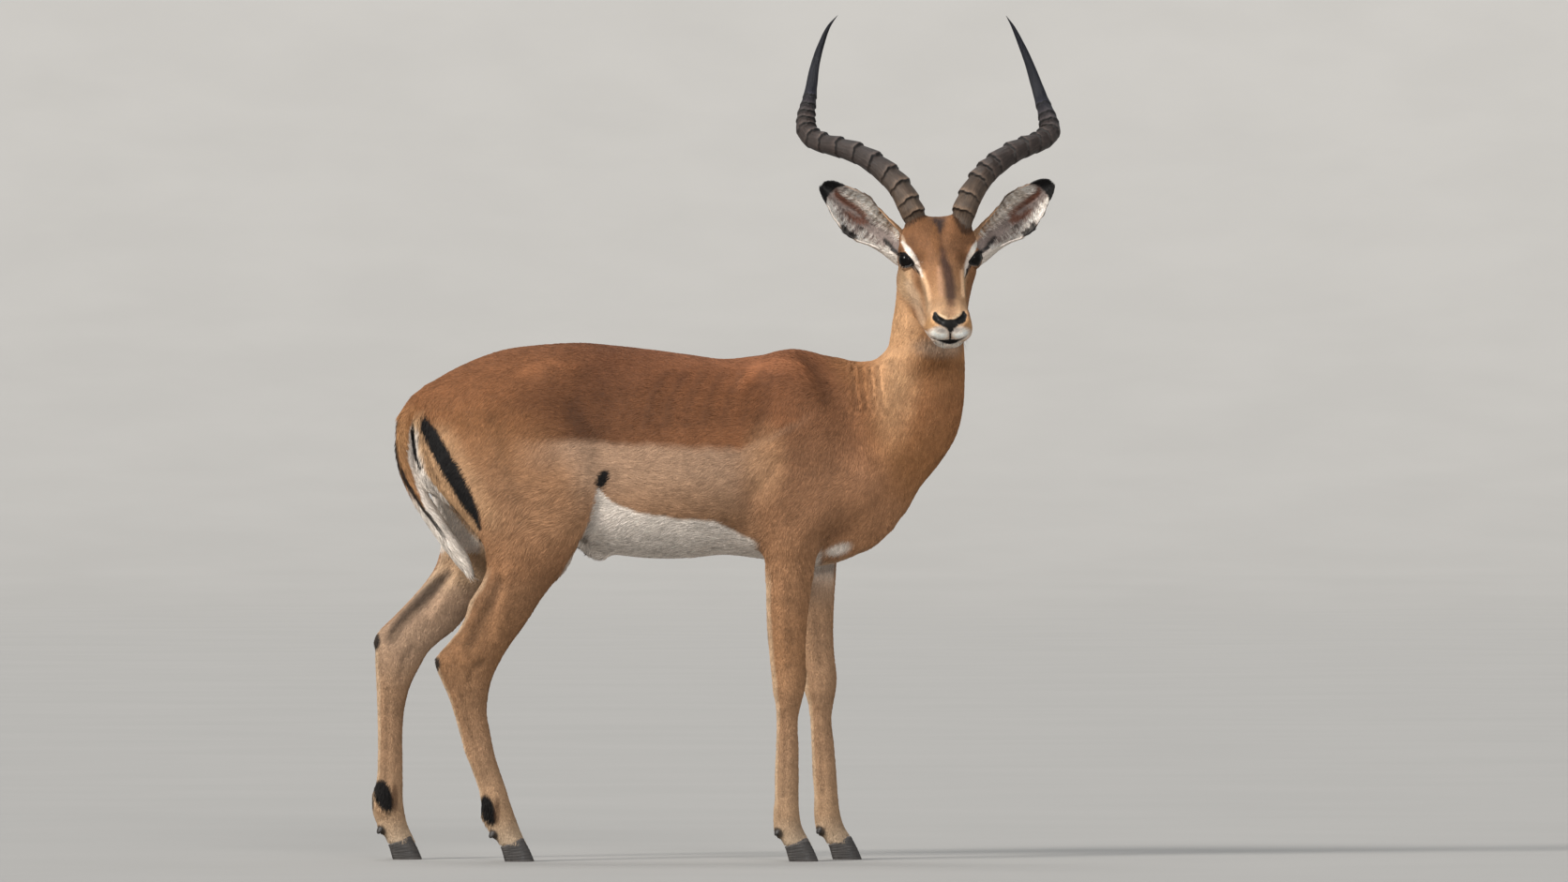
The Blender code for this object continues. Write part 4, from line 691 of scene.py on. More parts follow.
def divide(bm, wanted):
    """Halve the edges whose ends are both wanted."""
    places = np.array([v.co for v in bm.verts])
    keep = wanted(places)
    for i, v in enumerate(bm.verts):
        v.index = i
    edges = [e for e in bm.edges if keep[e.verts[0].index] and keep[e.verts[1].index]]
    bmesh.ops.subdivide_edges(bm, edges=edges, cuts=1, use_grid_fill=True, use_single_edge=True)


def eye_frame(side):
    """Middle of the eyeball, where it looks, and the long and short axes of its opening."""
    centre = from_head(0.0, side * EYE_SIDE, 0.0)
    gaze = unit(LEVEL * math.cos(GAZE) + side * LEFTWARD * math.sin(GAZE) + 0.03 * TOPWARD)
    out = unit(side * LEFTWARD - (side * LEFTWARD @ gaze) * gaze)
    up = np.cross(gaze, out) * side
    up = up if up[2] > 0 else -up
    cos, sin = math.cos(EYE_TILT), math.sin(EYE_TILT)
    return centre, gaze, out * cos + up * sin, up * cos - out * sin


def eye_opening(p, side):
    """How far out from the middle of the opening, 1 on its rim, and the part above the middle."""
    centre, gaze, long, short = eye_frame(side)
    away = p - centre
    reach = np.maximum(np.linalg.norm(away, axis=1), 1e-6)
    w = away / reach[:, None]
    angle = np.degrees(np.arccos(np.clip(w @ gaze, -1, 1)))
    a, b = w @ long, w @ short
    span = np.maximum(np.hypot(a, b), 1e-6)
    a, b = a / span * angle, b / span * angle
    a = np.abs(a) / np.where(a < 0, LID_INNER, LID_OUTER)
    top = b
    b = np.abs(b) / np.where(b > 0, LID_UPPER, LID_LOWER)
    return (a ** LID_POINT + b ** LID_POINT) ** (1 / LID_POINT), top, reach, w, centre


def lids(p):
    """Push the skin behind the eyeballs, and raise a rim and a soft fold of lid around them."""
    p = p.copy()
    for side in (-1, 1):
        e, top, reach, w, centre = eye_opening(p, side)
        near = np.flatnonzero((reach < EYE_RADIUS + 0.0015) | (e < 2.3) & (reach < 0.045))
        e, top, r = e[near], top[near], reach[near]
        rim = EYE_RADIUS + 0.0021 + 0.0016 * smooth(top, 0, 25)
        crease = -0.0014 * np.exp(-((e - 1.36) / 0.08) ** 2) * smooth(top, -30, 10)
        lid = rim + 0.0009 * np.exp(-((e - 1.16) / 0.10) ** 2) + crease
        new = np.maximum(lid + (r - lid) * smooth(e, 1.22, 2.1), EYE_RADIUS + 0.0013)
        sunk = EYE_RADIUS - 0.0045
        new = sunk + (new - sunk) * smooth(e, 0.84, 1.02)
        p[near] = centre + w[near] * new[:, None]
    return p


def settle(p, h=0.0006):
    """Move points that are near the skin onto it."""
    here = skin_level(p)
    slope = np.stack([skin_level(p + h * np.eye(3)[a]) - here for a in range(3)], 1) / h
    return p - slope * (here / np.maximum((slope ** 2).sum(1), 0.05))[:, None]


def build_skin():
    """One closed skin around all the flesh, finer on the head and the lower legs."""
    axes, value = grid_levels(*FLESH_BOX, STEP, skin_level)
    mesh = mesh_of("skin", *surface_net(axes, value))
    bm = bmesh.new()
    bm.from_mesh(mesh)
    muzzle = from_head(0.17, 0.0, -0.05)

    def head_zone(q):
        middle_of_head = from_head(0.05, 0.0, 0.01)
        return (np.linalg.norm(q - middle_of_head, axis=1) < HEAD_ZONE) | (q[:, 2] < LEG_ZONE)

    def fine_zone(q):
        close = np.linalg.norm(q - muzzle, axis=1) < MUZZLE_ZONE
        for side in (-1, 1):
            close |= np.linalg.norm(q - from_head(0.0, side * EYE_SIDE, 0.0), axis=1) < EYE_ZONE
        return close

    divide(bm, head_zone)
    divide(bm, fine_zone)
    bm.to_mesh(mesh)
    bm.free()
    p = numbers(mesh.vertices, "co", float, 3)
    a, b = numbers(mesh.edges, "vertices", np.int32, 2).T
    count = len(p)
    ties = np.bincount(a, minlength=count) + np.bincount(b, minlength=count)
    for _ in range(3):
        total = np.stack([np.bincount(a, p[b, i], count) + np.bincount(b, p[a, i], count)
                          for i in range(3)], 1)
        p = settle(0.5 * p + 0.5 * total / ties[:, None])
    mesh.vertices.foreach_set("co", lids(settle(p)).ravel())
    mesh.update()
    return mesh


# ---------------------------------------------------------------- markings
def by(v, rows):
    """Colour that changes along a table of places and colours."""
    places = [r[0] for r in rows]
    return np.stack([np.interp(v, places, [r[1][i] for r in rows]) for i in range(3)], 1)


def edge_of(v, rows):
    """Where an edge lies, from a table of places."""
    return np.interp(v, [r[0] for r in rows], [r[1] for r in rows])


def mix(a, b, share):
    """Colour a turned into colour b by a share."""
    return a + (np.asarray(b) - a) * np.clip(share, 0, 1)[:, None]


def line_gap(a, b, line):
    """Distance in one view to a line whose rows are place, place, half width."""
    best = np.full(len(a), 9.0)
    for (a0, b0, r0), (a1, b1, r1) in zip(line[:-1], line[1:]):
        da, db = a1 - a0, b1 - b0
        u = np.clip(((a - a0) * da + (b - b0) * db) / (da * da + db * db), 0, 1)
        best = np.minimum(best, np.hypot(a - a0 - u * da, b - b0 - u * db) - (r0 + (r1 - r0) * u))
    return best


def oval(a, b, a0, b0, half_a, half_b, soft=0.3):
    """1 inside an oval, 0 outside it."""
    return fade(np.hypot((a - a0) / half_a, (b - b0) / half_b), 1 - soft, 1 + soft)


def nose_gap(p):
    """Distance in the front view from the bare nose."""
    gap = np.minimum(line_gap(p[:, 0], p[:, 2], NOSE), line_gap(p[:, 0], p[:, 2], NOSE_FOOT)) - 0.0007
    return gap + 0.03 * fade(to_head(p)[0], 0.105, 0.125)


def head_share(p):
    """1 on the head, 0 on the neck."""
    return smooth((p - THROAT) @ THROAT_TILT, -0.012, 0.014) * (p[:, 2] > 0.8)


def horn_gap(p, rows):
    """Distance from the foot of a horn, and the horn's way up."""
    foot, top = np.array(rows[0][:3]) + (0.0, HORN_SUNK, 0.0), np.array(rows[2][:3])
    share = np.clip((p - foot) @ (top - foot) / ((top - foot) @ (top - foot)), 0, 1)
    radius = rows[0][3] * (1 - HORN_NARROWED * fade(share, 0.26, 0.75))
    return np.linalg.norm(p - foot - share[:, None] * (top - foot), axis=1) - radius, unit(top - foot)


def neck_share(p):
    """1 on the neck and head, 0 on the trunk."""
    return smooth((p - WITHERS) @ WITHERS_LEAN, -0.035, 0.045) * smooth(p[:, 2], 0.56, 0.66)


FOLD_SHADE_AND_HIGHLIGHT_TONE, FOLD_SHADE_AND_HIGHLIGHT_LIMITS = 130.0, (-0.55, 0.34)   # painted shade in fold hollows and painted highlight on fold ridges: how strongly it darkens or lightens the coat, and its limits


def relief(p):
    """How far the folds stand out or sink in, for painted shade in the hollows and painted highlight on the
    ridges.
    """
    total = np.zeros(len(p))
    for swell in FOLDS:
        near = np.flatnonzero(((p > swell.low) & (p < swell.high)).all(1))
        if len(near):
            total[near] += swell.amount(p[near])
    return total


def coat_colour(p, n):
    """Colour of the skin and of the coat on it, at places with their normals."""
    x, y, z = p.T
    side = np.where(y >= 0, 1.0, -1.0)
    large, small = wander(p, 0.05), wander(p, 0.016, 1)

    def lay(shade, share):
        nonlocal colour
        colour = mix(colour, shade, share)

    edge = edge_of(x, SADDLE_EDGE) + 0.004 * large + 0.0016 * small
    upper = smooth(z - edge, -0.010, 0.011)
    colour = mix(by(z, FLANK), by(z, SADDLE), upper)
    tone = np.interp(x, [-0.20, -0.10, 0.03, 0.16, 0.26], [0.72, 0.78, 1.20, 1.45, 1.25])
    colour = colour * (1 + upper * (tone - 1))[:, None]
    rear = fade(x + 0.020 * large - 0.25 * (z - 0.75), -0.265, -0.130)
    lay(by(z, HAUNCH), rear)
    low_haunch = fade(x + 0.010 * large, -0.175, -0.105) * fade(z, 0.66, 0.735)
    lay(by(z, HAUNCH), low_haunch)
    dusk = oval(x, z, -0.185, 0.800, 0.075, 0.040, 0.9)
    lay((0.125, 0.050, 0.022), 0.60 * dusk)
    front = smooth(x + 0.014 * large, 0.105, 0.205)
    lay(by(z, SHOULDER), front * (1 - upper * fade(x, 0.20, 0.30)))
    colour = colour * (1 + smooth(x, 0.30, 0.36) * fade(z, 0.70, 0.80) * 0.45)[:, None]
    pale = oval(x, z, 0.190, 0.700, 0.035, 0.060, 0.6)
    lay((0.42, 0.235, 0.122), 0.55 * pale)
    neck = neck_share(p)
    lay(by(z, NECK_FUR), neck)
    # painted light: the nape half of the neck is painted paler and more golden, where the light falls on it
    neck_painted_light = oval(x, z, 0.425 + 0.10 * (z - 0.88), 0.905, 0.036, 0.140, 0.7) * (n[:, 1] < 0.5)
    lay((0.60, 0.350, 0.185), 0.82 * neck * neck_painted_light)
    throat = smooth(z, 0.80, 0.90) * oval(x, z, 0.485, 0.865, 0.050, 0.040, 0.6)
    throat = throat * smooth(-n[:, 1], 0.2, 0.7)
    lay((0.20, 0.083, 0.030), 0.60 * throat)
    throat = oval(x, z, 0.500, 0.905, 0.040, 0.016, 0.7) * smooth(-n[:, 1], 0.0, 0.6)
    lay((0.46, 0.33, 0.24), 0.75 * throat)
    # belly, chest and the insides of the legs
    facing_in = smooth(-n[:, 1] * side, 0.15, 0.65)
    thigh = x - edge_of(z, THIGH_FRONT)
    belly = smooth(edge_of(x, BELLY_EDGE) + 0.0015 * small - z, -0.0040, 0.0040)
    under = smooth(-n[:, 2], 0.55, 0.85) * (np.abs(y) < 0.10)
    belly = belly * np.maximum(smooth(thigh, -0.0035, 0.0015), under * (x > -0.20))
    belly = belly * fade(x, 0.282, 0.296) * (z > 0.5)
    outer_arm = band(x, 0.165, 0.185, 0.285, 0.300) * smooth(np.abs(y), 0.040, 0.056)
    lay(WHITE, belly * (1 - outer_arm))
    keel = smooth(-n[:, 2], 0.80, 0.97) * band(x, 0.27, 0.30, 0.40, 0.44) * (z > 0.5)
    lay((0.58, 0.42, 0.29), 0.75 * keel)
    patch = oval(x, z - 0.22 * (x - 0.3199), 0.3199, 0.5485, 0.0215, 0.0105, 0.5) * (z > 0.52)
    lay(WHITE, 0.95 * patch * fade(np.abs(y), 0.040, 0.052))
    groin = fade(np.abs(y), 0.026, 0.040) * (x < -0.10) * (z > 0.50) * fade(z, 0.66, 0.70)
    lay(WHITE * 0.96, groin)
    leg = fade(z, 0.47, 0.53)
    darker = np.interp(z, [0.20, 0.34, 0.50, 0.56], [1.0, 0.78, 0.74, 0.85])
    lay(by(z, LEG_FUR) * np.where(x < -0.1, darker, 1.0)[:, None], leg)
    lift = 0.10 * (x < 0) * (side > 0) * smooth(x, -0.42, -0.36)
    inner = facing_in * smooth(z - lift, 0.43, 0.53) * fade(z, 0.63, 0.68)
    inner = inner * fade(np.abs(y), 0.09, 0.11)
    lay(WHITE * 0.88, 0.80 * inner)
    greyer = facing_in * smooth(z, 0.10, 0.34) * leg * fade(np.abs(y), 0.09, 0.11)
    # tan of the legs' inner faces; the hind legs' paler tan is held about an eighth darker as painted shade
    inner_tan_and_shade = np.tile((0.37, 0.232, 0.140), (len(x), 1))
    inner_tan_and_shade = mix(inner_tan_and_shade, (0.42, 0.295, 0.205), (x < -0.1) * smooth(z, 0.28, 0.40))
    lay(inner_tan_and_shade, 0.70 * greyer)
    groin = facing_in * (x < -0.30) * band(z, 0.46, 0.50, 0.56, 0.60) * (side > 0)
    lay((0.60, 0.42, 0.27), 0.6 * groin)
    # pale rear faces of the lower legs: partly the coat's own pale edge, partly painted rim light
    pale_rear_and_rim_light = leg * smooth(-n[:, 0], 0.60, 0.85) * smooth(z, 0.05, 0.12)
    lay((0.66, 0.47, 0.31), 0.65 * pale_rear_and_rim_light)
    # rump: pale beside the tail, a black stripe down each buttock
    stripe = line_gap(x, z, STRIPE) + 0.0007 * small
    body_rear = (x < -0.29) & (z > 0.54) & (z < 0.80)
    line_x = edge_of(z, [(r[1], r[0]) for r in STRIPE[::-1]])
    tan = smooth(line_x - x, -0.002, 0.006) * band(z, 0.54, 0.58, 0.770, 0.795) * body_rear
    lay((0.47, 0.285, 0.155), 0.90 * tan)
    ahead = band(x - line_x, 0.006, 0.014, 0.020, 0.060) * band(z, 0.56, 0.62, 0.745, 0.785)
    lay((0.49, 0.300, 0.165), 0.60 * ahead)
    behind = smooth(edge_of(z, RUMP_WHITE) - x, -0.004, 0.006) * band(z, 0.52, 0.56, 0.760, 0.780)
    lay(mix(WHITE[None], (0.58, 0.42, 0.28), smooth(z, 0.68, 0.73)), behind * body_rear)
    lay(WHITE, fade(np.abs(y), 0.030, 0.042) * body_rear * fade(z, 0.74, 0.77))
    lay(BLACK, fade(stripe, -0.0022, 0.0026) * body_rear)
    lay(BLACK, fade(line_gap(x, z, CREASE), -0.001, 0.0015) * body_rear)
    # flank spot, gland tufts, hock marks
    spot = oval(x - 0.30 * (z - 0.672), z, -0.0950, 0.6730, 0.0105, 0.0165, 0.20) * (z > 0.6)
    lay(BLACK, spot)
    for which, x0, z0, half_x, half_z in GLANDS:
        here = (side == which) & (x < -0.2)
        lay(BLACK, here * oval(x + 0.25 * (z - z0), z, x0, z0, half_x, half_z, 0.16))
        lay((0.10, 0.050, 0.026), 0.7 * here
            * oval(x, z, x0 + half_x * 1.25, z0 - 0.002, 0.0055, half_z * 0.9, 0.4))
    rear_edge = (side > 0) & (x < -0.3)
    lay(BLACK, 0.85 * rear_edge * oval(x, z, -0.5035, 0.104, 0.0045, 0.019, 0.4))
    for which, x0, z0, half_x, half_z in HOCKS:
        lay(BLACK * 1.5, 0.95 * (side == which) * oval(x, z, x0, z0, half_x, half_z, 0.3))
    # darker hair and painted shade in the hollow inside the left hind leg's Achilles tendon, on its inner
    # face
    shade = (side > 0) & (x < -0.3)
    achilles_dark_gap = line_gap(x, z, [(-0.470, 0.402, 0.001), (-0.446, 0.432, 0.005), (-0.400, 0.476, 0.009),
                             (-0.368, 0.506, 0.004)])
    lay((0.085, 0.055, 0.038), 0.80 * shade * facing_in * fade(achilles_dark_gap, -0.004, 0.008))
    for x0, y0, z0 in DEWCLAWS:
        close = np.hypot(np.hypot(x - x0, (np.abs(y - y0) - DEWCLAW_SPREAD)), z - z0)
        lay((0.03, 0.024, 0.02), 0.9 * fade(close, 0.008, 0.013))
    # tail: brown with a thin black line down its back, white below
    back = edge_of(z, TAIL_REAR)
    into = x - back
    thick = np.interp(z, [0.49, 0.56, 0.62, 0.70, 0.76, 0.81], [0.06, 0.048, 0.040, 0.031, 0.028, 0.030])
    tail = (into < thick) & (np.abs(y) < 0.032) & (z > 0.48)
    tail_colour = by(z, [(0.50, (0.80, 0.73, 0.66)), (0.555, (0.72, 0.62, 0.52)),
                         (0.58, (0.50, 0.34, 0.21)), (0.64, (0.33, 0.165, 0.075)),
                         (0.74, (0.36, 0.19, 0.085)), (0.82, (0.25, 0.105, 0.042))])
    brown = np.interp(z, [0.50, 0.575, 0.600, 0.640, 0.690, 0.760],
                      [0.000, 0.004, 0.010, 0.016, 0.0205, 0.026])
    tail_colour = mix(tail_colour, WHITE,
                      smooth(into - brown + 0.0012 * small, -0.0015, 0.0020) * fade(z, 0.762, 0.782))
    middle = np.interp(z, [0.55, 0.60, 0.66, 0.70, 0.80], [0.010, 0.0105, 0.0050, 0.0015, 0.0])
    fringe = smooth(middle - into, -0.001, 0.002) * fade(z + 0.010 * small, 0.610, 0.665)
    tail_colour = mix(tail_colour, WHITE * 1.08, fringe)
    line = fade(np.abs(into - middle) - 0.0034, -0.0012, 0.0016) * band(z, 0.555, 0.585, 0.765, 0.785)
    tail_colour = mix(tail_colour, BLACK * 1.4, 0.95 * line)
    lay(tail_colour, tail * fade(z, 0.795, 0.812))
    behind = smooth(n[:, 1], 0.0, 0.6)
    far = smooth((p - THROAT) @ THROAT_TILT, -0.045, 0.075) * (z > 0.8)
    lay(face_colour(p, n), head_share(p) * (1 - behind) + far * behind)
    # painted shade in fold hollows and painted highlight on fold ridges
    return colour * np.exp(np.clip(FOLD_SHADE_AND_HIGHLIGHT_TONE * relief(p), *FOLD_SHADE_AND_HIGHLIGHT_LIMITS))[:, None]


def face_colour(p, n):
    """The same on the head."""
    x, y, z = p.T
    f, _, u = to_head(p)
    small = wander(p, 0.010, 2)
    large = wander(p, 0.030, 5)
    colour = by(f, FACE_FUR) * (1 + 0.06 * large)[:, None]
    facing = smooth(-n[:, 1], -0.25, 0.10)

    def lay(shade, share):
        nonlocal colour
        colour = mix(colour, shade, share)

    def line(rows, shade, strength, soft_in, soft_out):
        gap = line_gap(x, z, rows) + 0.0005 * small
        lay(shade, strength * facing * fade(gap, soft_in, soft_out))

    def spot(shade, strength, x0, z0, half_x, half_z, soft):
        lay(shade, strength * facing * oval(x, z, x0, z0, half_x, half_z, soft))

    # forehead and cheeks
    line([(0.4960, 1.120, 0.006), (0.4930, 1.100, 0.008), (0.4960, 1.075, 0.005)],
         (0.225, 0.100, 0.038), 0.55, -0.004, 0.010)
    line([(0.4640, 1.074, 0.002), (0.4690, 1.066, 0.003)], (0.20, 0.088, 0.034), 0.60, -0.002, 0.012)
    line([(0.5370, 1.072, 0.002), (0.5340, 1.062, 0.003)], (0.22, 0.095, 0.038), 0.45, -0.002, 0.012)
    line([(0.4560, 1.020, 0.004), (0.4640, 0.995, 0.006), (0.4700, 0.975, 0.004)],
         (0.34, 0.165, 0.072), 0.55, -0.003, 0.008)
    line([(0.4455, 1.018, 0.002), (0.4420, 0.998, 0.003)], (0.62, 0.42, 0.27), 0.45, -0.002, 0.006)
    spot((0.56, 0.36, 0.21), 0.55, 0.4520, 0.9900, 0.016, 0.014, 0.6)
    spot((0.60, 0.40, 0.235), 0.80, 0.4380, 1.0180, 0.013, 0.032, 0.8)
    line([(0.4440, 1.0180, 0.0040), (0.4545, 0.9945, 0.0055), (0.4640, 0.9700, 0.0045),
          (0.4690, 0.9480, 0.0030)], (0.64, 0.45, 0.30), 0.62, -0.004, 0.008)
    # painted shade on the side of the muzzle on the animal's left
    lay((0.24, 0.108, 0.046), 0.65 * facing * smooth(x, 0.5435, 0.5475) * fade(z, 1.020, 1.040)
        * smooth(z, 0.945, 0.960))
    lay(WHITE, smooth(-n @ TOPWARD, 0.45, 0.85) * smooth(-u, 0.075, 0.090) * (f > -0.04))
    # the stripe down the nose and the pale lines on both sides of it
    line([(0.4616, 1.0489, 0.0010), (0.4699, 1.0290, 0.0020), (0.4765, 1.0125, 0.0024),
          (0.4798, 0.9926, 0.0024), (0.4806, 0.9761, 0.0018)], (0.60, 0.39, 0.24), 0.50, -0.0020, 0.0056)
    line([(0.5420, 1.0480, 0.0012), (0.5377, 1.0357, 0.0022), (0.5385, 1.0158, 0.0018),
          (0.5393, 0.9950, 0.0012)], (0.64, 0.42, 0.27), 0.60, -0.0016, 0.0042)
    line([(0.4970, 1.045, 0.001), (0.4995, 1.020, 0.004), (0.5020, 0.998, 0.003)],
         (0.50, 0.29, 0.185), 0.55, -0.002, 0.006)
    line([(0.5030, 1.076, 0.0020), (0.5050, 1.0588, 0.0070), (0.5105, 1.0423, 0.0095),
          (0.5140, 1.0257, 0.0100), (0.5160, 1.0092, 0.0105), (0.5168, 0.9926, 0.0095),
          (0.5172, 0.9830, 0.0060)], (0.058, 0.031, 0.026), 0.90, -0.0064, 0.0066)
    line([(0.5175, 0.9830, 0.003), (0.5170, 0.9650, 0.005)], (0.27, 0.140, 0.075), 0.5, -0.003, 0.008)
    line([(0.5000, 1.112, 0.0006), (0.5018, 1.080, 0.0008), (0.5035, 1.062, 0.0012)],
         (0.15, 0.070, 0.040), 0.40, 0.0, 0.0045)
    patch = line_gap(x, z, [(0.4970, 1.142, 0.0130), (0.4978, 1.131, 0.0100), (0.4988, 1.120, 0.0062),
                            (0.4996, 1.109, 0.0012)])
    strands = 0.0016 * wander(p * np.array((1.0, 1.0, 0.25)), 0.0032, 12)
    dark = fade(patch + strands, -0.0045, 0.0065)
    lay((0.050, 0.034, 0.032), 0.90 * dark * smooth(-y, 0.050, 0.078))
    for rows in (HORN_RIGHT, HORN_LEFT):
        gap = horn_gap(p, rows)[0]
        lay((0.060, 0.032, 0.020), 0.80 * fade(gap + 0.4 * strands, 0.0000, 0.0034))
    # white above the eyes
    line([(0.4335, 1.1000, 0.0016), (0.4370, 1.0870, 0.0024)], (0.60, 0.44, 0.31), 0.70, -0.001, 0.003)
    line([(0.4660, 1.0362, 0.0042), (0.4712, 1.0190, 0.0036), (0.4755, 0.9932, 0.0030),
          (0.4789, 0.9674, 0.0025)], (0.57, 0.37, 0.22), 0.70, -0.0020, 0.0044)
    line([(0.5426, 1.0362, 0.0035), (0.5400, 1.0147, 0.0025), (0.5383, 0.9932, 0.0020)],
         (0.57, 0.37, 0.22), 0.70, -0.0018, 0.0036)
    line([(0.4338, 1.0900, 0.0018), (0.4424, 1.0771, 0.0042), (0.4510, 1.0642, 0.0050),
          (0.4590, 1.0513, 0.0038), (0.4645, 1.0390, 0.0022), (0.4680, 1.0290, 0.0006)],
         WHITE * 1.06, 0.95, -0.0016, 0.0026)
    line([(0.5658, 1.0921, 0.0020), (0.5563, 1.0749, 0.0042), (0.5486, 1.0577, 0.0038),
          (0.5436, 1.0400, 0.0022), (0.5416, 1.0300, 0.0006)], WHITE * 1.06, 0.95, -0.0016, 0.0026)
    lay((0.50, 0.40, 0.33), 0.75 * oval(x, z, 0.4150, 1.0650, 0.010, 0.015, 0.5) * (y > -0.12))
    # muzzle, lips and chin
    line([(0.4935, 0.9625, 0.0018), (0.5000, 0.9590, 0.0022), (0.5085, 0.9555, 0.0020)],
         (0.74, 0.55, 0.36), 0.75, -0.0010, 0.0025)
    line([(0.5350, 0.9630, 0.0020), (0.5290, 0.9590, 0.0020), (0.5215, 0.9550, 0.0016)],
         (0.70, 0.50, 0.32), 0.65, -0.0010, 0.0025)
    spot((0.55, 0.30, 0.13), 0.75, 0.4830, 0.9440, 0.0095, 0.0120, 0.5)
    spot((0.50, 0.27, 0.12), 0.70, 0.5460, 0.9440, 0.0065, 0.0110, 0.5)
    white = np.maximum.reduce([oval(x, z, 0.4960, 0.9270, 0.0185, 0.0125, 0.35),
                               oval(x, z, 0.5345, 0.9285, 0.0175, 0.0115, 0.35),
                               oval(x, z, 0.5120, 0.9050, 0.0330, 0.0150, 0.3),
                               oval(x, z, 0.4660, 0.9265, 0.0150, 0.0075, 0.4)])
    lay(WHITE * 1.22, 0.95 * smooth(-n[:, 1], -0.5, 0.0) * white)
    spot((0.40, 0.29, 0.20), 0.60, 0.5150, 0.9015, 0.0095, 0.0060, 0.6)
    for x0, z0 in ((0.5010, 0.9335), (0.5285, 0.9345)):
        spot((0.36, 0.33, 0.31), 0.55, x0, z0, 0.0080, 0.0045, 0.6)
    # bare nose, mouth, tear line and eye rims
    lay(BLACK, facing * fade(nose_gap(p), -0.0006, 0.0008))
    lip = line_gap(x, z, [(0.5164, 0.9330, 0.0018), (0.5160, 0.9180, 0.0013)])
    mouth = line_gap(x, z, [(0.4830, 0.9212, 0.0002), (0.4956, 0.9163, 0.0006), (0.5045, 0.9149, 0.0025),
                            (0.5156, 0.9142, 0.0040), (0.5253, 0.9152, 0.0028), (0.5338, 0.9175, 0.0009),
                            (0.5440, 0.9225, 0.0002)])
    lay(BLACK, facing * smooth(f, 0.105, 0.120) * fade(np.minimum(lip, mouth), -0.0004, 0.0009))
    line([(0.4467, 1.0513, 0.0028), (0.4550, 1.0440, 0.0023), (0.4617, 1.0362, 0.0012),
          (0.4635, 1.0310, 0.0003)], (0.016, 0.012, 0.011), 0.96, -0.0005, 0.0012)
    line([(0.5520, 1.0491, 0.0028), (0.5480, 1.0420, 0.0020), (0.5450, 1.0340, 0.0012),
          (0.5425, 1.0260, 0.0003)], (0.016, 0.012, 0.011), 0.96, -0.0005, 0.0012)
    for which in (-1, 1):
        e, top, reach = eye_opening(p, which)[:3]
        near = reach < 0.034
        lay((0.42, 0.33, 0.27), 0.55 * near * smooth(-top, 5, 20) * band(e, 1.14, 1.20, 1.24, 1.38))
        black_to = 1.13 + 0.09 * smooth(top, -12, 14)
        lay(BLACK, near * fade(e, black_to, black_to + 0.06))
    return colour


# ---------------------------------------------------------------- lie of the coat
def coat_lie(p, n):
    """Which way the hair points, along the skin."""
    x, y, z = p.T
    way = np.tile((-1.0, 0.0, -0.16), (len(p), 1))

    def blend(target, share):
        nonlocal way
        way = way + (np.asarray(target) - way) * share[:, None]

    blend((-0.55, 0.0, -0.80), fade(x, -0.30, -0.12) * fade(z, 0.80, 0.89))
    blend((-0.15, 0.0, -1.0), fade(x, -0.40, -0.33) * fade(z, 0.76, 0.84))
    blend((-0.42, 0.0, -0.90), smooth(x, 0.12, 0.22) * fade(z, 0.78, 0.88))
    blend((-0.10, 0.0, -1.0), smooth(x, 0.33, 0.42) * fade(z, 0.72, 0.80))
    blend((-0.30, 0.0, -0.95), neck_share(p))
    blend((-0.10, 0.0, -1.0), band(x, 0.334, 0.344, 0.400, 0.420) * smooth(z, 0.785, 0.800))
    hind = (x < -0.1) * fade(z, 0.56, 0.62) * smooth(z, 0.33, 0.40)
    blend((-0.42, 0.0, -0.90), hind)
    blend((-0.03, 0.0, -1.0), (x > 0.0) * fade(z, 0.50, 0.56))
    blend((0.03, 0.0, -1.0), fade(z, 0.33, 0.40))
    slant = (edge_of(z - 0.012, TAIL_REAR) - edge_of(z + 0.012, TAIL_REAR)) / 0.024
    tail = (x < edge_of(z, TAIL_REAR) + 0.045) * (np.abs(y) < 0.034) * band(z, 0.49, 0.50, 0.77, 0.80)
    blend(np.stack([slant, 0 * slant, -1 + 0 * slant], 1), tail)
    head = head_share(p)
    _, s, u = to_head(p)
    rising = 0.25 * smooth(u, 0.0, 0.04) - 0.35 * smooth(-u, 0.02, 0.07)
    face = -AHEAD[None, :] + TOPWARD[None, :] * rising[:, None]
    face = face + LEFTWARD[None, :] * (0.35 * np.sign(s) * smooth(np.abs(s), 0.004, 0.03))[:, None]
    way = way + (face - way) * head[:, None]
    for which in (-1, 1):
        e, _, reach, w, centre = eye_opening(p, which)
        away = p - (centre + 0.01 * w)
        gaze = eye_frame(which)[1]
        away = away - (away @ gaze)[:, None] * gaze
        share = head * fade(e, 1.4, 2.1) * (reach < 0.04)
        way = way + (unit(away) * 0.8 + face * 0.4 - way) * share[:, None]
    for rows in (HORN_RIGHT, HORN_LEFT):
        gap, up = horn_gap(p, rows)
        share = fade(gap, 0.003, 0.010) * smooth(z, 1.08, 1.10)
        way = way + (up - way) * share[:, None]
    bend = 0.30 * wander(p, 0.045, 3) + 0.12 * wander(p, 0.012, 4)
    way = way - (way * n).sum(1)[:, None] * n
    way = unit(way)
    across = np.cross(n, way)
    return unit(way * np.cos(bend)[:, None] + across * np.sin(bend)[:, None])


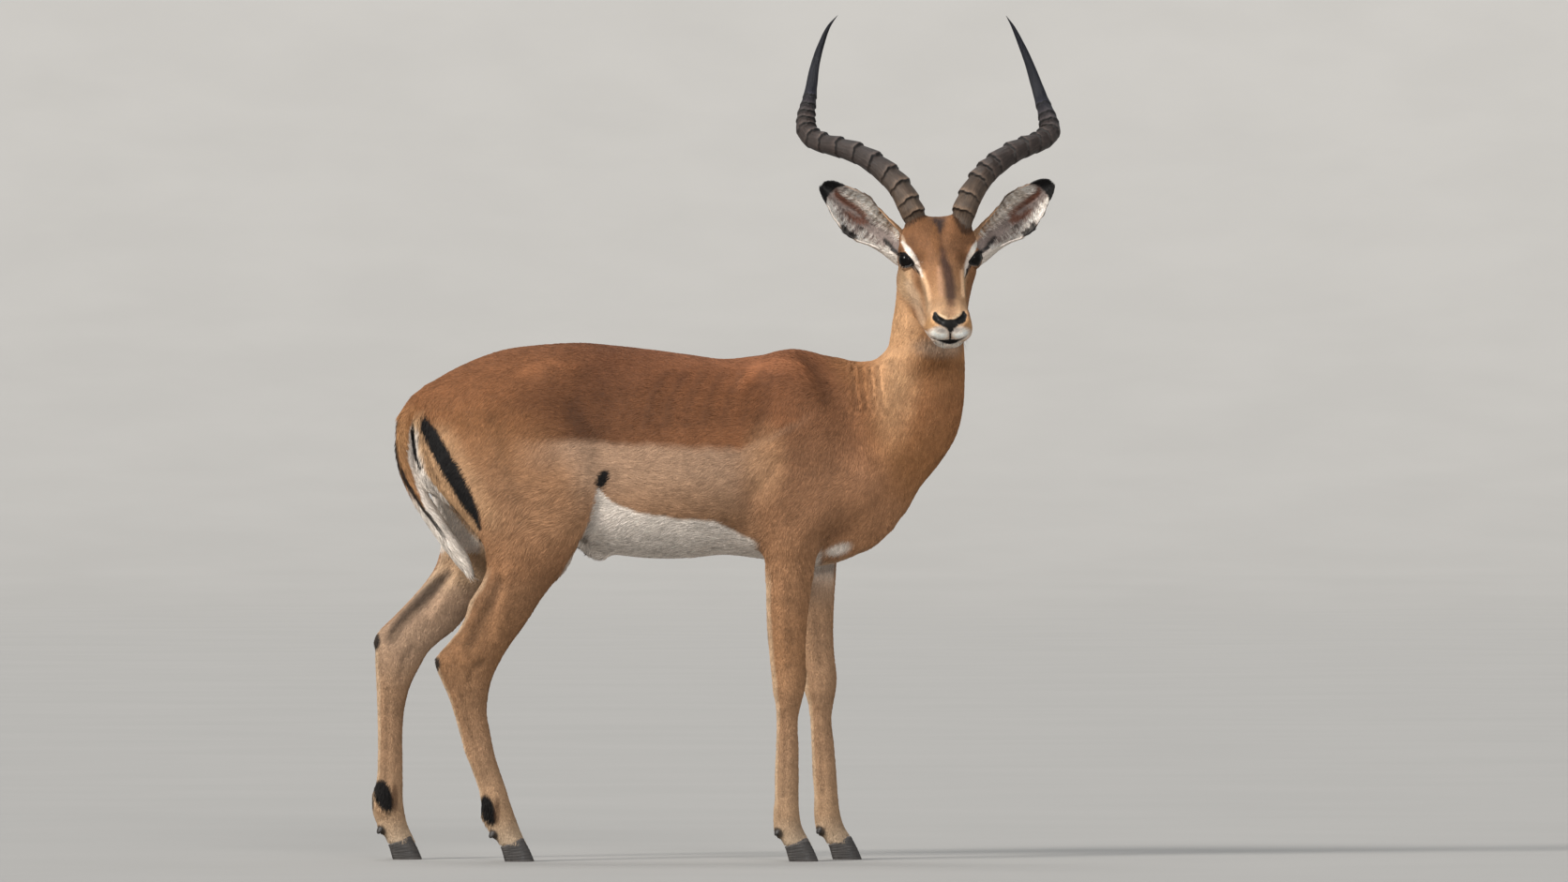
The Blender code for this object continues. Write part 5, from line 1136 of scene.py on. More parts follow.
def coat_size(p, n):
    """Length, width and rise of a tuft."""
    x, y, z = p.T
    length = np.full(len(p), 0.0125)
    width = np.full(len(p), 0.0020)
    rise = np.full(len(p), 0.0014)

    def blend(l, w, r, share):
        nonlocal length, width, rise
        length = length + (l - length) * share
        width = width + (w - width) * share
        rise = rise + (r - rise) * share

    blend(0.0140, 0.0017, 0.0010, neck_share(p))
    blend(0.0150, 0.0022, 0.0026, (z < edge_of(x, BELLY_EDGE)) * (z > 0.5) * (np.abs(x) < 0.3) * 0.8)
    blend(0.0085, 0.0016, 0.0014, fade(z, 0.42, 0.56))
    blend(0.0066, 0.0014, 0.0011, fade(z, 0.10, 0.24))
    head = head_share(p)
    blend(0.0064, 0.0013, 0.0012, head)
    f = to_head(p)[0]
    blend(0.0042, 0.0010, 0.0008, head * smooth(f, 0.06, 0.14))
    for rows in (HORN_RIGHT, HORN_LEFT):
        blend(0.0095, 0.0011, 0.0032, fade(horn_gap(p, rows)[0], 0.002, 0.008) * (z > 1.08))
    rear = (x < -0.29) * (z > 0.5) * (z < 0.80) * (np.abs(y) < 0.07)
    blend(0.0200, 0.0022, 0.0030, rear * smooth(-n[:, 0], 0.2, 0.7))
    tail = (x < -0.33) * (np.abs(y) < 0.03) * (z < 0.76) * (z > 0.48)
    blend(0.0210, 0.0020, 0.0026, tail * (1 - 0.70 * smooth(z, 0.655, 0.735)) * (n[:, 0] < 0.3))
    for which, x0, z0, half_x, half_z in GLANDS:
        here = (np.where(y >= 0, 1.0, -1.0) == which) * (x < -0.2)
        blend(0.0150, 0.0018, 0.0048, here * oval(x, z, x0, z0, half_x, half_z, 0.3))
    return length, width, rise


# ---------------------------------------------------------------- meshes
def numbers(items, name, kind, width=1):
    """One property of many vertices, edges or faces, as an array."""
    found = np.empty(len(items) * width, kind)
    items.foreach_get(name, found)
    return found.reshape(-1, width) if width > 1 else found


def link(name, mesh):
    ob = bpy.data.objects.new(name, mesh)
    bpy.context.scene.collection.objects.link(ob)
    return ob


def paint(mesh, colours):
    """Gives each vertex its colour, in the layer that the materials read."""
    layer = mesh.color_attributes.new("Coat", "FLOAT_COLOR", "POINT")
    rgba = np.column_stack([np.clip(colours, 0, 1), np.ones(len(colours))])
    layer.data.foreach_set("color", rgba.ravel())


def mesh_of(name, points, faces):
    """A mesh from arrays, with faces all of one size."""
    faces = np.asarray(faces, np.int32)
    mesh = bpy.data.meshes.new(name)
    mesh.vertices.add(len(points))
    mesh.vertices.foreach_set("co", points.ravel())
    mesh.loops.add(faces.size)
    mesh.loops.foreach_set("vertex_index", faces.ravel())
    mesh.polygons.add(len(faces))
    mesh.polygons.foreach_set("loop_start", (np.arange(len(faces)) * faces.shape[1]).astype(np.int32))
    mesh.update(calc_edges=True)
    return mesh


def soften(mesh):
    mesh.polygons.foreach_set("use_smooth", np.ones(len(mesh.polygons), bool))
    mesh.update()


def new_mesh(name, points, faces, colours):
    """A smooth mesh with its own colours, moved from the design frame to the row frame."""
    mesh = mesh_of(name, np.asarray(points) + SHIFT, faces)
    soften(mesh)
    paint(mesh, colours)
    return mesh


def face_outward(mesh):
    bm = bmesh.new()
    bm.from_mesh(mesh)
    bmesh.ops.recalc_face_normals(bm, faces=bm.faces[:])
    bm.to_mesh(mesh)
    bm.free()


def place_piece(name, mesh, mat, slot, *nodes):
    """Adds a piece to the scene, and says which nodes it replaces."""
    ob = link(name, mesh)
    ob.data.materials.append(mat)
    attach(ob, "root")
    if nodes:
        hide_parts(*nodes)


def scatter(points, normals, tris, crowd):
    """Even random places on triangles: the place, its normal and its triangle."""
    a, b, c = (points[tris[:, i]] for i in range(3))
    area = np.linalg.norm(np.cross(b - a, c - a), axis=1) / 2
    total = np.concatenate([[0], np.cumsum(area * crowd)])
    count = int(total[-1])
    pick = np.searchsorted(total, (np.arange(count) + CHANCE.random(count)) / count * total[-1],
                           side="right") - 1
    pick = np.clip(pick, 0, len(tris) - 1)
    u, v = CHANCE.random((2, count))
    over = u + v > 1
    u[over], v[over] = 1 - u[over], 1 - v[over]
    place = a[pick] + u[:, None] * (b - a)[pick] + v[:, None] * (c - a)[pick]
    na, nb, nc = (normals[tris[pick, i]] for i in range(3))
    return place, unit(na + u[:, None] * (nb - na) + v[:, None] * (nc - na)), pick


def tuft_piece(name, slot, mat, root, n, way, length, width, rise, colour, turn, run, tip=1.12):
    """Closed three sided locks: a raised ridge and a pointed end, lying along the skin."""
    count = len(root)
    across = np.cross(way, n)
    base = root - n * 0.0005
    points = np.empty((count, 4, 3))
    points[:, 0] = base - across * (width / 2)[:, None]
    points[:, 1] = base + across * (width / 2)[:, None]
    points[:, 2] = root + way * (0.40 * length)[:, None] + n * (0.72 * rise)[:, None]
    points[:, 3] = root + way * length[:, None] + n * rise[:, None]
    corners = np.array([(0, 1, 2), (1, 3, 2), (3, 0, 2), (0, 3, 1)])
    faces = (np.arange(count) * 4)[:, None, None] + corners[None]
    shade = np.array((0.90, 0.90, 1.0, tip))
    colours = colour[:, None, :] * shade[None, :, None]
    mesh = new_mesh(name, points.reshape(-1, 3), faces.reshape(-1, 3), colours.reshape(-1, 3))
    lean = unit(n + 0.17 * CHANCE.normal(size=(count, 3)))
    leans = [lean - 0.45 * across, lean + 0.45 * across, lean - 0.12 * way, lean + 0.22 * way]
    layer = mesh.attributes.new("custom_normal", "FLOAT_VECTOR", "POINT")
    layer.data.foreach_set("vector", unit(np.stack(leans, 1)).ravel())
    # every tuft gets its own small patch, at its root's place on the unrolled skin
    rows = max(1, int(math.sqrt(count)))
    order = np.argsort(run, kind="stable")
    row = np.empty(count, int)
    row[order] = np.minimum(np.arange(count) * rows // count, rows - 1)
    u = np.empty(count)
    for k in range(rows):
        mine = np.flatnonzero(row == k)
        u[mine[np.argsort(turn[mine], kind="stable")]] = (np.arange(len(mine)) + 0.5) / len(mine)
    v = (row + 0.5) / rows
    cell = min(0.003, 0.8 / rows)
    patch = (np.array(((0.0, 0.0), (1.0, 0.0), (0.5, 0.4), (0.5, 1.0))) - 0.5) * cell
    uv = np.stack([u, v], 1)[:, None, :] * (1 - cell) + cell / 2 + patch[None]
    uv = np.clip(uv, 0, 1)
    layer = mesh.uv_layers.new(name="OFBake")
    layer.data.foreach_set("uv", uv[:, corners.reshape(-1)].ravel())
    place_piece(name, mesh, mat, slot)


def streaks(p, way):
    """Noise drawn out along the hair, for combed locks lighter and darker than their neighbours."""
    along_x = wander(p * np.array((0.30, 1.0, 1.0)), 0.0042, 9)
    along_z = wander(p * np.array((1.0, 1.0, 0.30)), 0.0042, 10)
    share = smooth(np.abs(way[:, 2]) - np.abs(way[:, 0]), -0.35, 0.35)
    return along_x * (1 - share) + along_z * share


COAT_PIECES = [("head", "face_coat"), ("tail", "tail_coat"), ("forelegs", "leg_coat"),
               ("hind_legs", "leg_coat"), ("neck", "coat"), ("shoulders", "coat"), ("middle", "coat"),
               ("haunches", "coat")]


def skin_coat(mesh, p, n):
    """Tufts over the whole skin, in pieces by region."""
    mesh.calc_loop_triangles()
    tris = numbers(mesh.loop_triangles, "vertices", np.int32, 3)
    length, width, rise = coat_size(p, n)
    crowd = (COVER + NECK_COVER * neck_share(p)) / (0.5 * length * width)
    # none inside the eye openings, on the bare nose or inside the hooves
    bare = (p[:, 2] < CORONET - 0.002)
    for which in (-1, 1):
        e, _, reach = eye_opening(p, which)[:3]
        bare |= (reach < 0.030) & (e < 1.22)
    facing = (n[:, 1] < 0.2) & (p[:, 2] > 0.85)
    bare |= facing & (nose_gap(p) < 0.0006)
    crowd = crowd * ~bare
    root, normal, pick = scatter(p, n, tris, crowd[tris].mean(1))
    bare_tri = bare[tris].any(1)
    keep = ~bare_tri[pick]
    root, normal = root[keep], normal[keep]
    way = coat_lie(root, normal)
    turn = CHANCE.normal(0, 0.13, len(root))
    across = np.cross(normal, way)
    way = unit(way * np.cos(turn)[:, None] + across * np.sin(turn)[:, None])
    length, width, rise = coat_size(root, normal)
    length = length * CHANCE.uniform(0.75, 1.2, len(root))
    width = width * CHANCE.uniform(0.8, 1.2, len(root))
    rise = rise * CHANCE.uniform(0.4, 1.3, len(root))
    colour = coat_colour(root + way * (0.55 * length)[:, None], normal)
    comb = streaks(root, way)
    neck = neck_share(root) * (1 - head_share(root))
    value = np.exp(0.085 * CHANCE.normal(size=len(root)) + 0.06 * comb)
    # pale combed streaks on the neck: the coat's own streaks, gathered mostly onto the nape half as painted
    # light
    neck_lit_half = oval(root[:, 0], root[:, 2], 0.425, 0.880, 0.038, 0.110, 0.5)
    pale = smooth(comb, 0.2, 1.0) * neck * (0.15 + 0.85 * neck_lit_half)
    colour = mix(colour, np.array((0.66, 0.40, 0.21)), 0.28 * pale)
    colour = np.clip(colour * value[:, None], 0, 0.9)
    head, neck = head_share(root) > 0.5, neck_share(root) > 0.5
    x, y, z = root.T
    front_of_tail = np.interp(z, [0.49, 0.585, 0.695, 0.745, 0.80],
                              [-0.295, -0.357, -0.418, -0.428, -0.425])
    tail = (x < -0.33) & (np.abs(y) < 0.032) & (z > 0.48) & (x < front_of_tail)
    legs = (z < 0.54) & ~tail
    here = [head, tail, legs & (x > 0), legs, neck, x > 0.05, x > -0.16]
    region = np.select(here, list(range(7)), 7)
    mats = {slot: hair_material(slot) for slot in sorted({slot for _, slot in COAT_PIECES})}
    for k, (label, slot) in enumerate(COAT_PIECES):
        mine = np.flatnonzero(region == k)
        if label == "head":
            run, left, up = to_head(root[mine])
            turn = np.arctan2(left, up + 0.04)
        elif label in ("shoulders", "middle", "haunches"):
            run, turn = x[mine], np.arctan2(y[mine], z[mine] - 0.70)
        elif label == "neck":
            run, turn = z[mine], np.arctan2(y[mine], x[mine] - 0.44)
        elif label == "tail":
            run, turn = z[mine], np.arctan2(y[mine], x[mine] + 0.44)
        else:
            mid_left, mid_right = (0.29, 0.24) if label == "forelegs" else (-0.42, -0.28)
            mid_x = np.where(y[mine] > 0, mid_left, mid_right)
            swing = np.arctan2(y[mine] - np.sign(y[mine]) * 0.075, x[mine] - mid_x)
            run, turn = z[mine], swing + 8.0 * (y[mine] > 0)
        parts = max(1, math.ceil(len(mine) / PIECE_TUFTS))
        order = np.argsort(run, kind="stable")
        for part in range(parts):
            some = np.sort(order[part * len(mine) // parts:(part + 1) * len(mine) // parts])
            g = mine[some]
            title = "coat_" + label + ("" if parts == 1 else "_" + "abcdef"[part])
            tuft_piece(title, slot, mats[slot], root[g], normal[g], way[g], length[g], width[g], rise[g],
                       colour[g], turn[some], run[some])


# ---------------------------------------------------------------- materials
class Looks:
    """A node material: add nodes by kind, and wire them by name."""

    def __init__(self, name):
        self.mat = bpy.data.materials.new(name)
        self.mat.use_nodes = True
        self.tree = self.mat.node_tree
        self.shader = self.tree.nodes["Principled BSDF"]

    def add(self, kind, **values):
        node = self.tree.nodes.new(kind)
        for key, value in values.items():
            if hasattr(node, key):
                setattr(node, key, value)
            else:
                node.inputs[key.replace("_", " ")].default_value = value
        return node

    def wire(self, a, out, b, into):
        self.tree.links.new(a.outputs[out], b.inputs[into])

    def set(self, **values):
        for key, value in values.items():
            self.shader.inputs[key.replace("_", " ")].default_value = value

    def ramp(self, noise, low, high):
        """A number that goes from low to high with a noise."""
        node = self.add("ShaderNodeMapRange", From_Min=0.35, From_Max=0.65, To_Min=low, To_Max=high)
        self.wire(noise, "Fac", node, "Value")
        return node

    def tint(self, colour_node, colour_out, factor_node):
        """Colour times a factor."""
        node = self.add("ShaderNodeVectorMath", operation="SCALE")
        self.tree.links.new(colour_node.outputs[colour_out], node.inputs[0])
        self.tree.links.new(factor_node.outputs["Result"], node.inputs["Scale"])
        return node

    def noise(self, scale, detail, rough, vector):
        node = self.add("ShaderNodeTexNoise", Scale=scale, Detail=detail, Roughness=rough)
        self.tree.links.new(vector, node.inputs["Vector"])
        return node

    def bump(self, height_node, out, distance, strength):
        node = self.add("ShaderNodeBump", Distance=distance, Strength=strength)
        self.wire(height_node, out, node, "Height")
        self.wire(node, "Normal", self.shader, "Normal")

    def colour(self, *shades):
        """The piece's own colours as the base colour, lighter and darker with each noise."""
        node, out = self.add("ShaderNodeAttribute", attribute_name="Coat"), "Color"
        for noise, low, high in shades:
            node, out = self.tint(node, out, self.ramp(noise, low, high)), "Vector"
        self.wire(node, out, self.shader, "Base Color")

    def rough(self, noise, low, high):
        self.wire(self.ramp(noise, low, high), "Result", self.shader, "Roughness")


def coords(look, stretch=(1.0, 1.0, 1.0)):
    """Object places for a noise, stretched along the axes."""
    place = look.add("ShaderNodeTexCoord")
    mapping = look.add("ShaderNodeMapping", Scale=stretch)
    look.wire(place, "Object", mapping, "Vector")
    return mapping.outputs["Vector"]


def hair_material(slot):
    look = Looks(slot + "_hair")
    vector = coords(look)
    broad = look.noise(38.0, 3.0, 0.6, vector)
    fine = look.noise(420.0, 2.0, 0.5, vector)
    look.colour((broad, 0.90, 1.10), (fine, 0.88, 1.12))
    look.rough(fine, 0.62, 0.80)
    look.set(Specular_IOR_Level=0.18)
    return look.mat


def skin_material():
    look = Looks("skin_under_coat")
    broad = look.noise(38.0, 3.0, 0.6, coords(look))
    fine = look.noise(520.0, 4.0, 0.6, coords(look, (0.45, 1.0, 0.8)))
    look.colour((broad, 0.88, 1.10), (fine, 0.78, 1.08))
    wet = look.add("ShaderNodeAttribute", attribute_name="Wet")
    base = look.ramp(fine, 0.62, 0.85)
    drop = look.add("ShaderNodeMath", operation="MULTIPLY")
    drop.inputs[1].default_value = -0.26
    look.wire(wet, "Fac", drop, 0)
    total = look.add("ShaderNodeMath", operation="ADD")
    look.wire(base, "Result", total, 0)
    look.wire(drop, "Value", total, 1)
    look.wire(total, "Value", look.shader, "Roughness")
    look.set(Specular_IOR_Level=0.22)
    pebble = look.add("ShaderNodeTexVoronoi", feature="SMOOTH_F1", Scale=620.0)
    look.tree.links.new(coords(look), pebble.inputs["Vector"])
    both = look.add("ShaderNodeMix", data_type="FLOAT")
    look.wire(wet, "Fac", both, "Factor")
    look.tree.links.new(fine.outputs["Fac"], both.inputs[2])
    look.tree.links.new(pebble.outputs["Distance"], both.inputs[3])
    look.bump(both, "Result", 0.00035, 0.8)
    return look.mat


def horn_material():
    look = Looks("horn_surface")
    grain = look.add("ShaderNodeAttribute", attribute_name="Grain")
    mapping = look.add("ShaderNodeMapping", Scale=(1.0, 1.0, 0.10))
    look.wire(grain, "Vector", mapping, "Vector")
    fibres = look.noise(26.0, 5.0, 0.65, mapping.outputs["Vector"])
    scuffs = look.noise(95.0, 4.0, 0.6, coords(look))
    look.colour((fibres, 0.50, 1.60), (scuffs, 0.82, 1.18))
    look.rough(fibres, 0.38, 0.58)
    look.set(Specular_IOR_Level=0.34)
    look.bump(fibres, "Fac", 0.0012, 0.8)
    return look.mat


def hoof_material():
    look = Looks("hoof_surface")
    growth = look.noise(7.0, 3.0, 0.5, coords(look, (4.0, 4.0, 60.0)))
    grain = look.noise(300.0, 4.0, 0.6, coords(look, (1.0, 1.0, 0.2)))
    look.colour((growth, 0.7, 1.45), (grain, 0.75, 1.25))
    look.rough(grain, 0.38, 0.68)
    look.bump(growth, "Fac", 0.0012, 0.7)
    return look.mat


def eye_material():
    look = Looks("eye_surface")
    grain = look.add("ShaderNodeAttribute", attribute_name="Grain")
    rays = look.noise(9.0, 3.0, 0.6, grain.outputs["Vector"])
    look.colour((rays, 0.55, 1.5))
    look.set(Roughness=0.34, Specular_IOR_Level=0.05, Coat_Weight=0.17, Coat_Roughness=0.05)
    veins = look.noise(240.0, 3.0, 0.5, coords(look))
    look.bump(veins, "Fac", 0.00003, 0.4)
    return look.mat


def dark_material(name, rough=(0.35, 0.6)):
    look = Looks(name)
    fine = look.noise(260.0, 3.0, 0.5, coords(look))
    look.colour((fine, 0.8, 1.2))
    look.rough(fine, *rough)
    return look.mat


# ---------------------------------------------------------------- horns, ears, eyes, hooves
HORN_FOOT = {"right": 1.134, "left": 1.136}   # height where the horn leaves the hair
EAR_BACK_TUFTS, EAR_INNER_TUFTS = 7500, 10500
UPPER_LASHES, LOWER_LASHES, WHISKERS = 38, 12, 46
EAR_LENGTH = 0.186
# The brown band inside the ear: along it, then across it in millimetres, upwards
EAR_BAND = [(0.82, 8.5), (0.74, 7.0), (0.65, 13.0), (0.545, 14.0), (0.50, 10.0), (0.48, 1.0),
            (0.49, -4.0), (0.56, -11.0), (0.63, -11.0)]
EAR_FOLDS = [(-0.45, 0.0014), (-0.20, 0.0012), (0.10, 0.0014), (0.35, 0.0010)]
# distance of each ring from the horn's foot, as seen from the front
RINGS = {"right": [0.006, 0.030, 0.060, 0.088, 0.122, 0.156, 0.189, 0.219, 0.241, 0.261, 0.275, 0.288,
                   0.303, 0.320],
         "left": [0.007, 0.036, 0.068, 0.090, 0.111, 0.143, 0.170, 0.192, 0.210, 0.226, 0.240, 0.254,
                  0.275]}


def ring_mesh(name, rings, colours, grain=None):
    """A closed body from rings of equal numbers of points."""
    rings = np.asarray(rings, float)
    n, m = rings.shape[:2]
    points = rings.reshape(-1, 3)
    i, j = np.meshgrid(np.arange(n - 1), np.arange(m), indexing="ij")
    k = (j + 1) % m
    quads = np.stack([i * m + j, i * m + k, (i + 1) * m + k, (i + 1) * m + j], -1).reshape(-1, 4)
    faces = [(q[0], q[1], q[2]) for q in quads] + [(q[0], q[2], q[3]) for q in quads]
    points = np.concatenate([points, rings[0].mean(0)[None], rings[-1].mean(0)[None]])
    colours = np.asarray(colours, float).reshape(-1, 3)
    colours = np.concatenate([colours, colours[:1], colours[-1:]])
    first, last = n * m, n * m + 1
    for a in range(m):
        b = (a + 1) % m
        faces.append((first, b, a))
        faces.append((last, (n - 1) * m + a, (n - 1) * m + b))
    mesh = new_mesh(name, points, np.array(faces), colours)
    if grain is not None:
        grain = np.asarray(grain, float).reshape(-1, 3)
        grain = np.concatenate([grain, grain[:1], grain[-1:]])
        layer = mesh.attributes.new("Grain", "FLOAT_VECTOR", "POINT")
        layer.data.foreach_set("vector", grain.ravel())
    face_outward(mesh)
    return mesh


def horn(side, rows, mat):
    """Raised rings: steep towards the base, worn away on the outer side, fading into a smooth tip."""
    steps, sides = 380, 48
    line = smooth_line(rows, steps)
    across, through = frames(line[:, :3], (0.0, 1.0, 0.0))
    run, seen = run_along(line[:, :3]), run_along(line[:, [0, 2]])
    start = np.interp(HORN_FOOT[side], line[:len(line) // 2, 2], seen[:len(line) // 2])
    sunk = fade(run, 0.016, 0.046)
    line[:, 1] += HORN_SUNK * sunk
    line[:, 3] *= 1 - HORN_NARROWED * sunk
    crests = np.interp(start + np.array(RINGS[side]), seen, run)
    gaps = np.diff(np.append(crests, crests[-1] + 0.016))
    turn = circle(sides)
    inward = 1.0 if rows[-1][0] < EYES[0] else -1.0
    rings, colours, grain = [], [], []
    base, mid = np.array((0.078, 0.052, 0.035)), np.array((0.032, 0.0225, 0.019))
    tip = np.array((0.0040, 0.0046, 0.0100))
    for i in range(steps):
        out = np.cos(turn)[:, None] * across[i] + np.sin(turn)[:, None] * through[i]
        # the horn's upper, front and inner side: there the rings stand out most, and their painted shade
        # and highlights are strongest
        crown = unit(np.array((0.55 * inward, -0.55, 0.65)))
        face = np.clip(0.5 + 0.62 * (out @ crown), 0.0, 1.0)
        sag = 0.0045 * (1 - face)
        jag = 0.0010 * np.sin(turn * 5 + 3 * i / steps) + 0.0007 * np.sin(turn * 11 + i * 0.05)
        place = run[i] + sag + jag * min(1.0, line[i, 3] / 0.012)
        which = np.clip(np.searchsorted(crests, place) - 1, -1, len(crests) - 1)
        after = place - np.where(which >= 0, crests[np.maximum(which, 0)], -1.0)
        before = np.where(which + 1 < len(crests), crests[np.minimum(which + 1, len(crests) - 1)],
                          9.0) - place
        slope = np.clip(1 - after / (gaps[np.maximum(which, 0)] * 0.92), 0, 1)
        step = 1 - np.clip(before / 0.0048, 0, 1)
        ridge = np.maximum(slope ** 1.15, smooth(step, 0, 1))
        size = np.interp(run[i], [crests[0], crests[2], crests[-3], crests[-1]],
                         [0.0030, 0.0052, 0.0040, 0.0020])
        t = run[i] / run[-1]
        fibre = 0.00030 * np.sin(turn * 17 + 2 * np.sin(t * 30)) + 0.00020 * np.sin(turn * 31 + 9 * t)
        least = np.interp(run[i], [crests[3], crests[-4]], [0.14, 0.42])
        radius = line[i, 3] - 0.0008 + size * ridge * (least + (1 - least) * face ** 1.5) * (run[i] > 0.002)
        radius = radius + (fibre + 0.0003 * np.sin(turn * 3 + t * 40)) * min(1.0, line[i, 3] / 0.012)
        rings.append(line[i, :3] + radius[:, None] * out)
        shade = base + (mid - base) * smooth(np.array(t), 0.08, 0.30)
        shade = shade + (tip - shade) * smooth(np.array(run[i]), crests[-5], crests[-1] + 0.02)
        # painted shade on the base side of each ring crest and painted highlight just past it
        dark = 1 - 0.92 * band(step, 0.02, 0.6, 0.93, 1.0) * (0.35 + 0.65 * face)
        light = 1 + 1.5 * np.exp(-(after / 0.0050) ** 2) * (which >= 0) * face
        colours.append(shade[None, :] * (dark * light * (1 + 0.08 * np.sin(turn * 5 + t * 31)))[:, None])
        grain.append(np.stack([np.cos(turn), np.sin(turn), np.full(sides, t * 12.0)], 1))
    mesh = ring_mesh("horn_" + side + "_ringed", rings, colours, grain)
    place_piece("horn_" + side + "_ringed", mesh, mat, "horn", "horn_" + side)


def ear_halves(t):
    """How far the upper and the lower edge lie from the ear's middle line."""
    rows = smooth_table(EAR_EDGES, 60)
    return np.interp(t, rows[:, 0], rows[:, 1]), np.interp(t, rows[:, 0], rows[:, 2])


def ear_surface(base, tip, steps, arc):
    """Middle line, and points of the outer and inner face, with the frame of each section."""
    base, tip = np.array(base), np.array(tip)
    along = unit(tip - base)
    length = np.linalg.norm(tip - base)
    back = unit(np.array((0.0, 1.0, 0.0)) - along[1] * along)
    across = np.cross(along, back)
    lower = 1.0 if across[2] < 0 else -1.0
    curls = smooth_table(EAR_CURL, 60)
    outer, inner = [], []
    places = np.concatenate([np.linspace(-0.10, 0.96, steps - 8), np.linspace(0.966, 1.0, 8)])
    spread = np.linspace(-1, 1, arc)
    for t in places:
        k = max(t, 0.0)
        up_half, low_half = ear_halves(k)
        half = (up_half + low_half) / 2
        curl = math.radians(np.interp(k, curls[:, 0], curls[:, 1]))
        radius = half / math.sin(min(curl, math.pi / 2))
        middle = base + along * length * t
        opened = min(1.0, max(0.0, (k - 0.04) / 0.22))
        opened = opened * opened * (3 - 2 * opened)
        thick = EAR_THICK * (1.0 - 0.55 * k)
        a = spread * curl
        wide = np.where(spread * lower > 0, low_half, up_half) / half
        ragged = 1 + 0.012 * (np.sin(t * 37) + 0.6 * np.sin(t * 83)) * np.abs(spread) ** 4
        aside = (radius * wide * ragged * np.sin(a))[:, None] * across
        depth = radius * (np.cos(a) - math.cos(min(curl, math.radians(95))))
        outer.append(middle + aside + back * depth[:, None])
        lean = 1.0 - thick / radius
        fold = sum(h * np.exp(-((spread - v0 * lower) / 0.055) ** 2) for v0, h in EAR_FOLDS)
        fold = fold * band(np.array(k), 0.16, 0.34, 0.70, 0.88)
        ins = middle + aside * lean + back * (depth - thick * np.cos(a * 0.6) - fold)[:, None]
        plug = middle + across * (half * 0.96 * np.sin(spread * 1.45))[:, None]
        plug = plug - back * (half * 0.30 * np.cos(spread * 1.45))[:, None]
        inner.append(ins * opened + plug * (1 - opened))
    return np.array(outer), np.array(inner), places, spread, across, back


def ear_colour(t, v, lower, inside):
    """t along the ear, v across it (lower gives the sign of the ear's lower edge)."""
    t, v = np.broadcast_arrays(np.asarray(t, float), np.asarray(v, float))
    t, v = t.ravel(), v.ravel()
    low = v * lower
    up_half, low_half = ear_halves(np.maximum(t, 0))
    curls = smooth_table(EAR_CURL, 60)
    curl = np.radians(np.interp(np.maximum(t, 0), curls[:, 0], curls[:, 1]))
    reach = np.where(low > 0, low_half, up_half) / np.sin(np.minimum(curl, math.pi / 2))
    reach = reach * np.sin(np.abs(v) * curl)
    w = -np.sign(low) * reach                       # across the ear, upwards, as it is seen
    run = t * EAR_LENGTH
    grain = 0.0010 * wander(np.stack([run, w, 0 * run], 1), 0.006, 7)
    from_low, from_up = w + low_half, up_half - w
    if inside:
        colour = np.tile((0.23, 0.180, 0.160), (len(t), 1))
        # painted shade inside the ear, darker towards its base
        colour = mix(colour, (0.20, 0.152, 0.134), 0.75 * fade(t, 0.10, 0.32))
        dark_band = line_gap(run, w, [(a * EAR_LENGTH, b * 0.001, 0.0062) for a, b in EAR_BAND]) + grain
        colour = mix(colour, (0.130, 0.045, 0.024), 0.92 * fade(dark_band, -0.003, 0.006))
        colour = mix(colour, (0.045, 0.028, 0.024),
                     0.85 * oval(run, w, 0.45 * EAR_LENGTH, -0.017, 0.0060, 0.0050, 0.5))
        colour = mix(colour, (0.62, 0.52, 0.43),
                     0.6 * smooth(w, 0.010, 0.020) * band(t, 0.2, 0.3, 0.70, 0.80))
        notch = line_gap(run, w, [(0.06 * EAR_LENGTH, -0.014, 0.004),
                                  (0.13 * EAR_LENGTH, -0.010, 0.0050),
                                  (0.22 * EAR_LENGTH, -0.004, 0.0030)])
        colour = mix(colour, BLACK, 0.95 * fade(notch + grain, -0.001, 0.003))
    else:
        colour = np.tile((0.33, 0.165, 0.080), (len(t), 1))
        colour = mix(colour, (0.44, 0.26, 0.14), smooth(np.abs(v), 0.55, 0.95))
        colour = mix(colour, WHITE * 0.95, smooth(low, 0.45, 0.75) * fade(t, 0.38, 0.44))
    rim = fade(from_up + grain, 0.0030, 0.0060) * fade(t, 0.40, 0.46)
    colour = mix(colour, (0.40, 0.225, 0.115), 0.9 * rim)
    broad = fade(from_up + grain, 0.0060, 0.0120) * fade(t, 0.22, 0.34)
    colour = mix(colour, (0.38, 0.215, 0.115), 0.85 * broad)
    rim = fade(from_low + grain, 0.0040, 0.0080) * (1 - smooth(t, 0.40, 0.44) + smooth(t, 0.60, 0.64))
    colour = mix(colour, WHITE, 0.9 * np.clip(rim, 0, 1) * (w < 0))
    line = fade(from_up, 0.0006, 0.0014) * band(t, 0.38, 0.50, 0.62, 0.78)
    colour = mix(colour, BLACK, 0.80 * line)
    patch = fade(from_low + grain, 0.0045, 0.0100) * band(t, 0.405, 0.45, 0.58, 0.635) * (w < 0)
    colour = mix(colour, BLACK, 0.97 * patch)
    start = np.interp(w / np.where(w > 0, up_half, low_half), [-1, -0.5, 0, 0.5, 1],
                      [0.842, 0.872, 0.886, 0.868, 0.818])
    return mix(colour, BLACK, smooth(t + 3 * grain, start - 0.006, start + 0.010))


